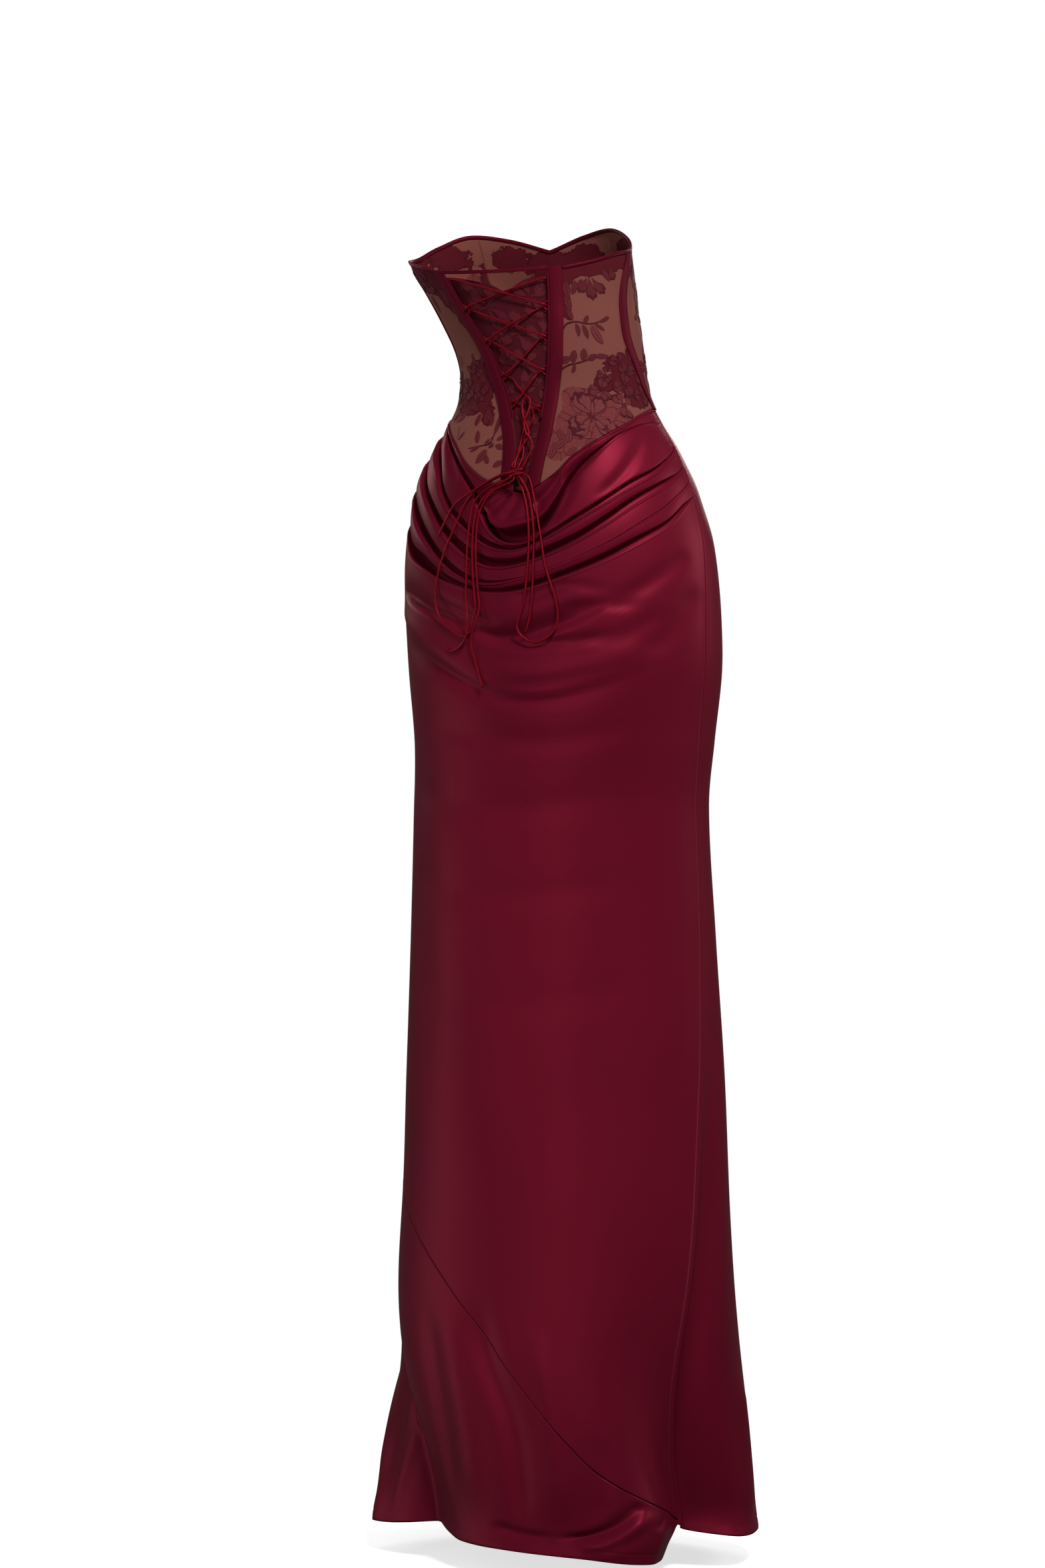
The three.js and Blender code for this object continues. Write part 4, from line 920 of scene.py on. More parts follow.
def from_seams(places, left, right):
    """The distances in millimetres along the cloth from its left and right seams."""
    angle, height = places[..., 0], places[..., 1]
    scale = mm_per_degree(angle, height)
    return (angle - left(height)) * scale, (right(height) - angle) * scale


def seam_ridge(places, left, right):
    """The turnings inside lift the cloth a little beside each side seam."""
    for away in from_seams(places, left, right):
        places[..., 2] += 0.5 * bell(away, 1.8, 1.4) - 0.2 * bell(away, 0, 0.8)
    return places


def seam_tones(places, left, right):
    """Two numbers from 0 to 1 per point: a painted highlight along each side seam, where its edge catches
    the light, and a painted shade along the line of the diagonal seam."""
    near = np.minimum(*from_seams(places, left, right))
    off_diagonal = np.abs(diagonal(places[..., 0]) - places[..., 1])
    # the painted highlight beside the side seams and the painted shade along the diagonal seam
    return {"edge": bell(near, 0, 1.2) * ease(-places[..., 1], 250, 420),
            "painted_seam_shade": bell(off_diagonal, 0, 0.9)}


share = finer_ends(SATIN_COLUMNS)
fold_lines = edge_rows() + [row for k in range(len(LIPS)) for row in fold_rows(k)]
folds = run_through(np.stack([settle(row, share) for row in fold_lines]), FINE_ROWS)
plain = np.stack([settle(row, share) for row in plain_rows(PLAIN_ROWS)])
drape = np.concatenate([folds, plain])[::-1].transpose(1, 0, 2).copy()
drape[..., 2] += soft_cloth(drape, HIP_GROOVES + SKIRT_WAVES + LOW_WAVES)
satin_back = cloth("satin_back", seam_ridge(drape, left_seam, right_seam), SATIN, SATIN_WALL,
                   seam_tones(drape, left_seam, right_seam))
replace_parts(satin_back, "hip_band", "skirt_back")
print("satin back", drape.shape, "area", round(cloth_area(satin_back), 3))

# %% [markdown]
# The lower back is cut on the other grain and sewn on along a slanting seam, so that the hem
# can kick out. It is a plain panel between that seam and the hem. Its upper edge runs on a
# little way behind the panel above, as a turning does, so that the seam stays closed.

# %% Lower back
HEM_FOLD = 11                     # how high the hem is turned up
TURNING, TURNED_IN = 2.5, 1.1     # how far the upper edge runs on, and how far in it lies


def hem_ridge(places, hem):
    """The turned hem's upper edge shows as a faint step some way above the hem."""
    above = places[..., 1] - hem(places[..., 0])
    places[..., 2] -= 0.35 * bell(above, HEM_FOLD, 1.2) + 0.3 * bell(above, 0, 1.5)
    return places


lower_share = np.concatenate([np.linspace(0, 0.06, 9)[:-1], np.linspace(0.06, 0.97, 60)[:-1],
                              np.linspace(0.97, 1, 8)])
lower = panel(left_seam, right_seam, back_hem, lambda a: diagonal(a) + TURNING, finer_ends(120),
              lower_share)
lower[..., 2] = flare(lower[..., 0], lower[..., 1]) + soft_cloth(lower, SKIRT_WAVES + LOW_WAVES)
below_seam = diagonal(lower[..., 0]) - lower[..., 1]
lower[..., 2] += soft_cloth(lower, HEM_WAVES) * ease(below_seam, 1, 16)
lower[..., 2] += 0.15 * bell(below_seam, 2.5, 1.6) - 0.3 * bell(below_seam, 0, 0.7)
lower[..., 2] -= TURNED_IN * (1 - ease(below_seam, -0.4, 0.9))
lower = seam_ridge(hem_ridge(lower, back_hem), left_seam, right_seam)
satin_lower = cloth("satin_lower_back", lower, SATIN, SATIN_WALL,
                    seam_tones(lower, left_seam, right_seam))
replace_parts(satin_lower, "skirt_lower_back")
print("lower back area", round(cloth_area(satin_lower), 3))

# %% [markdown]
# The front of the skirt hangs plain from the basque point, with a few shallow swags under it
# and soft flutes at the hem. It falls in beside the side seams, and its edges are turned in
# behind the back's.

# %% Front of the skirt
FRONT_GROOVES = [
    ([(106, -86), (130, -122), (180, -152), (230, -124), (256, -88)], 3.5, 10),
    ([(102, -122), (140, -178), (180, -204), (222, -180), (260, -126)], 4, 12),
    ([(100, -172), (140, -240), (180, -262), (220, -242), (262, -178)], 3.5, 14),
    ([(150, -330), (156, -520), (160, -760), (164, -980)], 2.2, 28),
    ([(206, -340), (204, -540), (200, -780), (196, -1000)], -2.0, 26),
    ([(118, -300), (122, -500), (128, -720), (130, -940)], 1.8, 24),
    ([(244, -300), (240, -500), (236, -720), (238, -940)], 1.8, 24),
    ([(305, -1085), (301, -1130), (297, -1180), (296, -1236)], -2.5, 3.5),
    ([(290, -1080), (286, -1140), (283, -1236)], 4, 8),
    ([(96, -1060), (98, -1140), (99, -1236)], -5, 10),
    ([(126, -1040), (127, -1130), (128, -1238)], 5, 9),
    ([(158, -1040), (158, -1130), (158, -1238)], -4, 9),
    ([(206, -1040), (206, -1130), (206, -1238)], 4, 9),
    ([(240, -1040), (240, -1130), (240, -1238)], -4, 9),
]
FRONT_ROOM = 0.45  # degrees between the front's edges and the side seams
front_share = np.concatenate([np.linspace(0, 0.013, 8)[:-1], np.linspace(0.013, 1, 150)])
front = panel(lambda z: right_seam(z) - FRONT_ROOM, lambda z: left_seam_round(z) + FRONT_ROOM, front_hem,
              lambda a: basque_edge(a) - SEAM_ROOM, finer_ends(160), front_share)
front[..., 2] = flare(front[..., 0], front[..., 1]) + soft_cloth(front, FRONT_GROOVES)
by_right, by_left = from_seams(front, right_seam, left_seam_round)
# the hollow beside each seam: its depth, the drops where it starts and is full, the distances
# where it starts and is full, its middle and its width
for away, deep, start, full, near, far, middle, wide in (
    (by_right, 19, 560, 1190, 0, 16, 24, 17), (by_left, 5, 950, 1200, 1, 14, 15, 9),
):
    hollow = deep * bell(away, middle, wide)
    front[..., 2] -= hollow * ease(-front[..., 1], start, full) * ease(away, near, far)
front = seam_ridge(hem_ridge(front, front_hem), right_seam, left_seam_round)
for away in (by_right, by_left):
    front[..., 2] -= 1.0 - ease(away, 0.2, 1.8)
satin_front = cloth("satin_front", front, SATIN, SATIN_WALL)
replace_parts(satin_front, "skirt_front")
print("front area", round(cloth_area(satin_front), 3))

# %% [markdown]
# ## The net and lace of the bodice
# The bodice is fine nude net with embroidered lace sewn on it. The net's holes are smaller
# than a pixel of most pictures, so it is one cloth with a fine cell relief. Where lace covers
# it there are two more looks: dense lace, dark and crowded, and open lace, a pale filling
# with dark drawn outlines. Two soft masks on the points say where each of them lies, and a
# little noise gives them a scalloped border.

# %% Net finish
STITCHES = 1300.0  # the stitches of the filling, per metre


def net_finish(name, bare, pale, deep, line):
    """Net threads round small cells; pale and deep lace by the masks, with drawn outlines."""
    net = Finish(name)
    uv, place = net.uv(), net.place()
    holes = net.add("ShaderNodeTexVoronoi", {"feature": "DISTANCE_TO_EDGE", "voronoi_dimensions": "2D"},
                    Vector=uv, Scale=760.0, Randomness=0.35)
    threads = 1 - holes.ramp(0.06, 0.2)
    border = net.noise(place, 150, 3.0) - 0.5
    dense = (net.mask("dense") + border * 0.75).ramp(0.46, 0.52)
    open_lace = (net.mask("open") + border * 0.5).ramp(0.46, 0.52)
    cover = (dense + open_lace).ramp(0.0, 1.0)
    drift = net.add("ShaderNodeVectorMath", {"operation": "SCALE"}, Vector=net.noise_colour(place, 75),
                    Scale=0.012)
    bent = net.add("ShaderNodeVectorMath", {"operation": "ADD"}, place, drift)
    petals = net.cells(bent, 46.0, "DISTANCE_TO_EDGE")
    drawn = (1 - petals.ramp(0.012, 0.04)) * cover * (0.6 - dense * 0.3)
    rim = (1 - ((net.mask("dense") + border * 0.75) - 0.5).size().ramp(0.03, 0.07)) * 0.8
    stitch = net.cells(place, STITCHES).ramp(0.1, 0.7)
    plain = net.mix(threads * 0.45, bare, line)
    laced = net.mix(dense, net.mix(stitch * 0.5, pale, line), net.mix(stitch * 0.4, deep, line))
    base = net.mix((drawn + rim).ramp(0.0, 1.0), net.mix(cover, plain, laced), line)
    net.set(Base_Color=base, Roughness=0.8, Sheen_Weight=0.03, Sheen_Tint=colour(255, 170, 160),
            Specular_IOR_Level=0.1)
    net.bump(threads * 0.3 + cover * 0.6 + drawn * 0.8, 0.0003, 0.7)
    return net.material


NET = net_finish("nude net", colour(142, 82, 72), colour(140, 66, 66), colour(98, 22, 34),
                 colour(72, 10, 24))
DARK_NET = net_finish("burgundy net", colour(88, 22, 32), colour(100, 26, 38), colour(88, 18, 30),
                      colour(54, 8, 18))

# %% [markdown]
# Five panels of net meet at the boned seams. Their edges are the seams and edges of the form.
# Each patch of lace is an oval with a soft edge, and a mask is one less all its misses.

# %% Net panels
LACE_WALL = 0.5
BOUND = 3.6          # how far below the top edge the net ends, inside the binding


def lace_bottom(angle):
    return basque_edge(angle) + SEAM_ROOM


def lace_top(angle):
    return top_edge(angle) - BOUND


def patches(angle, height, ovals):
    """One less the product, over the ovals, of one less a bell curve of the distance from the
    oval's middle in its own half widths."""
    missed = np.ones(np.shape(angle))
    for middle, level, wide, high in ovals:
        away = ((angle - middle) / wide) ** 2 + ((height - level) / high) ** 2
        missed = missed * (1 - np.exp(-0.7 * away))
    return 1 - missed


# each oval: angle, height, half width in degrees, half height in mm. The left side front
# mirrors the right one.
DENSE = {
    "back_left": [(-52, 112, 15, 13), (-42, 92, 6, 14), (-70, 118, 14, 10), (-37, 72, 3, 14),
        (-36, 14, 9, 8), (-30, -2, 8, 12), (-44, -8, 10, 10), (-53, -18, 7, 9), (-31, -20, 8, 12),
        (-40, -33, 9, 5), (-21, -42, 4, 9), (-66, 2, 9, 12), (-84, -8, 10, 14), (-84, 110, 8, 14)],
    "back_right": [(34, 110, 6, 12), (48, 116, 11, 7), (62, 121, 12, 7), (78, 128, 12, 8),
        (34, 90, 3, 16), (32, 70, 2.5, 8), (62, 15, 12, 7), (78, 18, 12, 13), (82, -8, 12, 16),
        (66, -4, 12, 10), (74, -22, 9, 9), (48, -8, 6, 7)],
    "side_front_right": [(98, 128, 10, 16), (104, 20, 10, 22), (124, 150, 14, 14), (140, 30, 9, 18),
        (118, -18, 12, 14), (150, 120, 8, 20), (132, 84, 8, 12), (160, -30, 8, 14), (104, 74, 6, 12)],
    "front": [(180, 140, 12, 16), (165, 100, 8, 18), (196, 96, 8, 18), (180, 44, 10, 16),
        (168, 0, 8, 14), (192, -8, 8, 14), (180, -52, 9, 12), (160, 150, 8, 12), (202, 150, 8, 12)],
    "modesty": [(0, 60, 60, 90), (0, -40, 60, 90)],
}
OPEN = {
    "back_left": [(-60, 24, 6, 7), (-48, -40, 6, 5)],
    "back_right": [(34, -44, 13, 19), (24, -66, 9, 14), (46, -32, 10, 13), (17, -82, 5, 9),
        (30, -20, 7, 8), (52, -46, 7, 8)],
    "side_front_right": [(112, 100, 12, 12), (126, 6, 12, 16), (150, 60, 9, 12), (146, -14, 9, 16),
        (140, 122, 6, 12)],
    "front": [(180, 96, 9, 14), (172, 26, 7, 12), (190, 20, 7, 12), (180, -22, 8, 12),
        (188, 128, 6, 10)],
    "modesty": [(0, 100, 1, 1)],
}
for ovals in (DENSE, OPEN):
    ovals["side_front_left"] = [(360 - angle, *rest) for angle, *rest in ovals["side_front_right"]]
NET_PANELS = {
    "back_left": (left_seam, left_opening), "back_right": (right_opening, right_seam),
    "side_front_right": (right_seam, right_front), "front": (right_front, left_front),
    "side_front_left": (left_front, left_seam_round),
}


def lace_masks(name, places):
    """The two masks of one panel."""
    angle, height = places[..., 0], places[..., 1]
    return {"dense": patches(angle, height, DENSE[name]), "open": patches(angle, height, OPEN[name])}


for name, (left, right) in NET_PANELS.items():
    places = panel(left, right, lace_bottom, lace_top, 64, 80)
    piece = cloth(f"net_{name}", places, NET, LACE_WALL, lace_masks(name, places))
    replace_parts(piece, f"bodice_{name}")
    area = cloth_area(piece)
    width = float(np.ptp(metre_map(on_form(*places.transpose(2, 0, 1)))[..., 0]))
    print(piece.name, "area", round(area, 4), "mean width", round(width, 3))

# %% [markdown]
# Behind the lacing lies a panel of denser, darker lace. It tucks in under both edges and
# sinks a few millimetres in the open middle.

# %% Modesty panel
# by angle: the height of the panel's dipping upper edge
(modesty_top,) = curves([(-38, 114), (-28, 112), (-7, 102), (0, 94), (5, 98), (15, 107), (34, 113)])
UNDERLAP = 15  # how far the panel runs on behind each edge of the opening


def modesty_left(height):
    return beside(left_opening, height, -UNDERLAP)


def modesty_right(height):
    return beside(right_opening, height, UNDERLAP)


def modesty_bottom(angle):
    return basque_edge(angle) + 2


def modesty_out(angle, height):
    """Just behind the net under the edges, and further in across the opening."""
    beyond = np.maximum(left_opening(height) - angle, angle - right_opening(height))
    return lerp(-4.8, -2.1, ease(beyond * mm_per_degree(angle, height), 0, 11))


modesty = panel(modesty_left, modesty_right, modesty_bottom, modesty_top, 60, 70)
modesty[..., 2] = modesty_out(modesty[..., 0], modesty[..., 1])
modesty_net = cloth("net_modesty", modesty, DARK_NET, LACE_WALL,
                    lace_masks("modesty", modesty))
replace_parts(modesty_net, "modesty_panel")
round(cloth_area(modesty_net), 4)
print("modesty area", round(cloth_area(modesty_net), 4))

# %% [markdown]
# The sewn-on motifs are embroidery: each leaf or petal is outlined with a thick thread and
# filled with fine stitches. A leaf is a strip carried along a short bent line, narrow at its
# foot and pointed. A petal is a fan that opens from its foot to a scalloped edge. A stem is a
# thin strip along a few points.

# %% Leaf, petal and stem
KINDS = ("leaf", "petal", "stem")
INSET = 0.3  # how far inside a panel's edges the lace is cut off


def leaf(length, width, bend):
    """A bent strip: the half width is the share along to the 0.7, times the rest to the 0.75."""
    s, t = np.linspace(0, 1, 18), np.linspace(-1, 1, 9)
    turn = np.radians(bend) * (s - 0.3)
    middle = np.cumsum(np.stack([np.sin(turn), np.cos(turn)], -1), axis=0) * length / len(s)
    half = width * 1.3 * s ** 0.7 * (1 - s) ** 0.75
    normal = np.stack([np.cos(turn), -np.sin(turn)], -1)
    return middle[None] + normal[None] * half[None, :, None] * t[:, None, None], s, t


def petal(length, width, bend):
    """A fan: its half angle comes from its width and its length, its edge is rounded off to
    the sides and waved, and it turns by the bend on its way out."""
    s, t = np.linspace(0, 1, 12), np.linspace(-1, 1, 15)
    spread = math.atan2(width / 2, length * 0.72)
    reach = length * (1 - 0.3 * t ** 2 + 0.045 * np.cos(t * 10.0))[:, None] * s[None, :]
    turn = t[:, None] * spread * (0.35 + 0.65 * s ** 0.5) + 0.5 * np.radians(bend) * s ** 2
    return np.stack([reach * np.sin(turn), reach * np.cos(turn)], -1), s, t


def stem(points, width):
    """A strip along a smooth line; its places are in degrees and millimetres already."""
    line = run_through(np.array(points, float), 6)
    scale = float(mm_per_degree(*line[len(line) // 2]))
    along = np.gradient(line * (scale, 1), axis=0)
    normal = np.stack([along[:, 1], -along[:, 0]], -1) / np.linalg.norm(along, axis=1, keepdims=True)
    s, t = np.linspace(0, 1, len(line)), np.linspace(-1, 1, 5)
    half = 0.5 * width * (1 - 0.45 * s)
    return line[None] + normal[None] * half[None, :, None] * t[:, None, None] / (scale, 1), s, t


def place_motif(row):
    """One row of a lace table as a grid of angles and heights, its shares and its density."""
    kind, rest = row[0], row[1:]
    if kind == "stem":
        points, width, dense = rest
        grid, s, t = stem(points, width)
        return grid[..., 0], grid[..., 1], s, t, dense
    angle, height, length, width, aim, bend, dense = rest
    flat, s, t = (leaf if kind == "leaf" else petal)(length, width, bend)
    c, d = math.cos(math.radians(aim)), math.sin(math.radians(aim))
    across = flat[..., 0] * c + flat[..., 1] * d
    up = flat[..., 1] * c - flat[..., 0] * d
    return angle + across / float(mm_per_degree(angle, height)), height + up, s, t, dense


def lay_lace(name, rows, edges, lift):
    """All the motifs of one panel as one mesh, cut off at the panel's edges. A motif lies 0.3
    mm off the net, each of five neighbours 0.05 higher than the last. Its rim is 0.16 higher
    and its middle 0.14."""
    left, right, low, high = edges
    parts, first = [], 0
    for k, row in enumerate(rows):
        angle, height, s, t, dense = place_motif(row)
        inside = np.clip(angle, left(height) + INSET, right(height) - INSET)
        level = np.clip(height, low(inside) + INSET, high(inside) - INSET)
        outside = (np.abs(inside - angle) > 1e-6) | (np.abs(level - height) > 1e-6)
        across, along = np.broadcast_arrays(np.abs(t)[:, None], s[None, :])
        edge = np.maximum(across, along) if row[0] == "petal" else across
        raised = 0.3 + 0.05 * (k % 5) + 0.16 * bell(edge, 0.92, 0.1) + 0.14 * (1 - across ** 2)
        cells = grid_quads(len(t), len(s))
        cells = cells[~outside.ravel()[cells].all(axis=1)]
        parts.append((cells + first,
                      on_form(inside, level, lift(inside, level) + raised).reshape(-1, 3),
                      np.stack(np.broadcast_arrays(s[None, :], t[:, None]), -1).reshape(-1, 2),
                      np.full(angle.size, KINDS.index(row[0]), float), np.full(angle.size, dense)))
        first += angle.size
    quads, points, uv, kind, dense = (np.concatenate(column) for column in zip(*parts))
    used, cells = np.unique(quads, return_inverse=True)
    piece = mesh_piece(name, points[used], cells.reshape(-1, 4), uv[used], LACE,
                       {"kind": kind[used], "dense": dense[used]})
    print(name, len(rows), "motifs,", len(piece.data.polygons), "faces")


def lace_finish():
    """Embroidery thread: a dark outline round each motif, a vein down a leaf, rays in a petal,
    and a filling of small stitches whose colour goes from pale to deep by the density."""
    lace = Finish("embroidered lace")
    uv = lace.uv()
    along, across = uv.part("X"), uv.part("Y").size()
    is_stem = lace.mask("kind").ramp(1.4, 1.6)
    is_petal = lace.mask("kind").ramp(0.4, 0.6) * (1 - is_stem)
    edge = across.maths("MAXIMUM", along * is_petal)
    outline = edge.ramp(0.8, 0.9)
    vein = (1 - across.ramp(0.05, 0.16)) * (1 - is_petal)
    rays = ((uv.part("Y") * 11.0).sine() * 0.5 + 0.5).ramp(0.75, 1.0) * is_petal * 0.45
    stitch = lace.cells(lace.place(), STITCHES).ramp(0.1, 0.7)
    filling = lace.mix(lace.mask("dense"), colour(138, 62, 62), colour(104, 24, 36))
    threads = lace.mix(stitch * 0.4, filling, colour(66, 12, 24))
    drawn = (outline + vein * 0.8 + rays + is_stem).ramp(0.0, 1.0)
    lace.set(Base_Color=lace.mix(drawn, threads, colour(76, 10, 24)), Roughness=0.7,
             Specular_IOR_Level=0.15)
    lace.bump(stitch * 0.4 + drawn, 0.00018, 0.7)
    return lace.material


LACE = lace_finish()

# %% [markdown]
# A blossom is a ring of petals round a small heart, and a large one has a second ring. They
# are placed as on the real lace: crowded dark flowers at the top edge and the sides, an open
# pale flower above the satin, and thin sprigs with hanging leaves over the bare net.

# %% Blossoms
def blossom(angle, height, size, petals, turn, dense, rings=1):
    """Rings of petals at even turns, the outer ring first so that the inner one lies on it. A
    ring has one petal more than the one inside it, and they are longer by 0.38 of the size."""
    rows = []
    for ring in range(rings, 0, -1):
        count = petals + ring - 1
        length = size * (0.62 + 0.38 * ring)
        for k in range(count):
            aim = turn + 23 * ring + 360 * k / count + (8 if k % 2 else -6)
            foot = size * 0.1 * ring
            rows.append(("petal", angle + foot * math.sin(math.radians(aim)) / 1.8,
                         height + foot * math.cos(math.radians(aim)), length * (1 if k % 2 else 0.9),
                         length * 0.78, aim, 30 if k % 2 else -24, dense))
    for k in range(6):
        rows.append(("leaf", angle, height, size * 0.34, size * 0.1, turn + 60 * k, 30, 1.0))
    return rows


def leaves(dense, *rows):
    return [("leaf", *row, dense) for row in rows]


# each leaf and petal: angle, height, length, width, aim, bend and density; each stem: its
# points, width and density; each blossom: angle, height, size, petals, turn, density, rings
BACK_RIGHT_LACE = [
    ("petal", 50, 108, 20, 13, 205, 20, 0.9), ("petal", 53, 108, 21, 14, 152, -20, 0.8),
    ("petal", 51, 108, 24, 15, 178, 0, 0.85),
    *leaves(0.9, (47, 106, 13, 5, 215, -30), (42, 105, 17, 7, 195, 30), (37, 104, 20, 9, 190, -20),
        (34, 88, 17, 8, 172, 20), (33, 74, 14, 6, 165, 20)),
    ("leaf", 60, 116, 16, 7, 130, 30, 0.8), ("petal", 66, 120, 15, 13, 150, 0, 0.85),
    ("stem", [(27, 50), (31, 57), (37, 59), (44, 57), (51, 59), (59, 66)], 2.2, 1.0),
    *leaves(0.9, (36, 58, 15, 5.5, 172, 30), (40, 57, 17, 6, 165, 20)),
    ("leaf", 46, 57, 24, 9.5, 160, -25, 0.35), ("leaf", 48, 57, 13, 4.5, 118, 20, 0.8),
    *leaves(0.9, (41, 57, 12, 5, 40, -20), (51, 59, 17, 4, 70, -15)),
    ("stem", [(22, 7), (27, 12), (32, 14), (38, 17), (45, 22)], 2.2, 1.0),
    *leaves(0.9, (22, 14, 14, 8, 60, 25), (30, 14, 15, 8, 12, 20), (36, 16, 15, 8, 18, -20),
        (39, 18, 13, 7, 66, -20), (31, 13, 10, 4.5, 196, 20), (44, 21, 17, 6, 84, 20)),
    *blossom(62, 16, 12, 5, 10, 0.9), *blossom(78, 8, 14, 6, 40, 0.95), *blossom(50, 2, 9, 5, 0, 0.85),
    *blossom(64, -8, 14, 6, 25, 0.85), *blossom(80, -18, 12, 5, 0, 0.9),
    *blossom(46, -14, 13, 6, 30, 0.6), *blossom(37, -44, 19, 6, 8, 0.05, 2),
    *blossom(60, -30, 14, 5, 50, 0.5), ("leaf", 14, -90, 20, 8, 22, -30, 0.5),
    ("leaf", 16, -80, 18, 8, 50, 25, 0.45), ("leaf", 21, -86, 16, 7, 60, -20, 0.5),
    *leaves(0.4, (30, -74, 17, 8, 75, 20), (24, -58, 15, 7, 190, 30)),
    ("leaf", 19, -56, 16, 7, 170, -20, 0.5), ("leaf", 42, -60, 16, 8, 80, 30, 0.4),
    *leaves(0.9, (76, 36, 18, 7, 195, 20), (84, 44, 20, 8, 170, -20), (86, 96, 22, 8, 190, 20)),
]
BACK_LEFT_LACE = [
    *blossom(-36, 12, 10, 5, 0, 0.9), *blossom(-31, -6, 12, 6, 20, 0.9),
    *blossom(-45, -9, 12, 5, 10, 0.85), *blossom(-33, -23, 11, 5, 60, 0.9),
    *blossom(-54, -20, 10, 5, 35, 0.8), *blossom(-64, 2, 13, 5, 20, 0.85),
    *leaves(0.9, (-37, 16, 15, 6, -20, 30), (-31, 14, 13, 5, 10, -20), (-42, 10, 14, 6, -60, 20),
        (-22, -32, 18, 9, 172, 25), (-27, -36, 15, 7, 190, -25)),
    *leaves(0.8, (-40, -34, 15, 7, 230, 25), (-50, -30, 14, 6, 215, 20)),
    ("leaf", -19, -38, 14, 6, 160, 20, 0.9),
    ("stem", [(-11, -44), (-13, -54), (-14, -62), (-15, -71), (-20, -73), (-27, -75)], 2.0, 1.0),
    *blossom(-15, -70, 6, 5, 10, 0.6), ("leaf", -22, -70, 16, 6.5, -28, 15, 0.75),
    ("leaf", -20, -73, 13, 5, -112, -20, 0.8), ("leaf", -16, -76, 18, 10, 206, 25, 0.7),
    *leaves(0.8, (-14, -62, 22, 6.5, 8, -20), (-12, -68, 11, 5, 62, 20)),
    ("leaf", -12, -73, 12, 6, 108, 20, 0.75), ("leaf", -37, -65, 11, 4.5, 25, 20, 0.8),
    ("stem", [(-42, -50), (-40, -56), (-38, -64)], 0.8, 0.8),
    *leaves(0.75, (-11, -97, 14, 7, 62, 25), (-13, -93, 12, 6, -40, 25)),
    *blossom(-56, 110, 13, 5, 20, 0.95), *blossom(-72, 114, 12, 5, 0, 0.9),
    *leaves(0.9, (-44, 104, 22, 9, 170, 20), (-41, 86, 20, 8, 160, -20), (-38, 72, 16, 6, 165, 20)),
    ("leaf", -60, 98, 20, 8, 185, -25, 0.8), ("leaf", -80, 96, 20, 8, 190, 20, 0.9),
    *blossom(-82, -4, 12, 5, 15, 0.85),
]


def scattered_lace(name, seed, size):
    """Blossoms on a panel's ovals of lace, and leaves pointing out from each."""
    draw = np.random.default_rng(seed)
    rows = []
    for ovals, dense in ((DENSE[name], 0.9), (OPEN[name], 0.15)):
        for angle, height, wide, high in ovals:
            rows += blossom(angle, height, size * draw.uniform(0.8, 1.1), 5, draw.uniform(0, 72), dense)
            for k in range(4):
                aim = draw.uniform(0, 360)
                away = 0.8 * high
                rows.append(("leaf", angle + away * math.sin(math.radians(aim)) / 1.9,
                             height + away * math.cos(math.radians(aim)), size * 1.3, size * 0.5, aim,
                             draw.uniform(-30, 30), dense))
    return rows


def flat_lift(angle, height):
    return 0 * angle


for name, rows in (
    ("back_right", BACK_RIGHT_LACE), ("back_left", BACK_LEFT_LACE),
    ("side_front_right", scattered_lace("side_front_right", 3, 12)),
    ("front", scattered_lace("front", 5, 11)),
    ("side_front_left", scattered_lace("side_front_left", 7, 12)),
):
    lay_lace(f"lace_{name}", rows, (*NET_PANELS[name], lace_bottom, lace_top), flat_lift)

# %% [markdown]
# The lace behind the lacing is crowded with large overlapping petals, all dark.

# %% Lace of the modesty panel
MODESTY_LACE = [
    *blossom(-14, 78, 26, 5, 20, 1.0), *blossom(14, 86, 22, 5, 50, 1.0), *blossom(-1, 50, 26, 5, 0, 0.9),
    *blossom(-14, 34, 20, 5, 40, 1.0), *blossom(14, 44, 20, 5, 10, 0.95), *blossom(0, 14, 22, 5, 30, 0.9),
    *blossom(8, -10, 16, 5, 0, 0.95), *blossom(-5, -16, 15, 5, 30, 1.0),
    *blossom(2, -42, 14, 5, 10, 0.95), *blossom(4, -68, 12, 5, 40, 1.0), *blossom(2, -92, 9, 5, 0, 1.0),
    ("leaf", -28, 106, 26, 11, 120, 25, 0.9), ("leaf", 24, 108, 20, 9, 215, 20, 0.95),
]
MODESTY_EDGES = (modesty_left, modesty_right, modesty_bottom, modesty_top)
lay_lace("lace_modesty", MODESTY_LACE, MODESTY_EDGES, modesty_out)

# %% [markdown]
# ## Casings, bindings and tapes
# The bones run in satin casings sewn over the seams. Each is a crowned strip: its outer side
# is a low arch, its edges are turned down to the lace, and a line of stitches runs along each.

# %% Casings
STRIP_LIFT = 0.25  # how far off the lace a strip's foot lies
# half a strip's section, from its foot over the turned edge and the stitched groove to the
# crowned middle: the share of its half width and of its rise
STRIP = np.array([(-1, 0), (-1, 0.45), (-0.97, 0.72), (-0.9, 0.8), (-0.8, 0.72), (-0.72, 0.82),
                  (-0.5, 0.94), (-0.25, 0.99), (0, 1)])


def laid_strip(name, seam, middle, half, rise, bottom, top, rows=90):
    """A strip along a seam, its middle so many millimetres beside it."""
    section = np.concatenate([STRIP, STRIP[-2::-1] * (-1, 1)])
    q, out = section[:, :1] * half, STRIP_LIFT + section[:, 1:] * rise
    places = settled(lambda height: beside(seam, height, middle + q), bottom, top, len(q),
                     np.linspace(0, 1, rows), out)
    return cloth(name, places, TRIM_SATIN, 0)


def casing_top(angle):
    return top_edge(angle) + 0.5


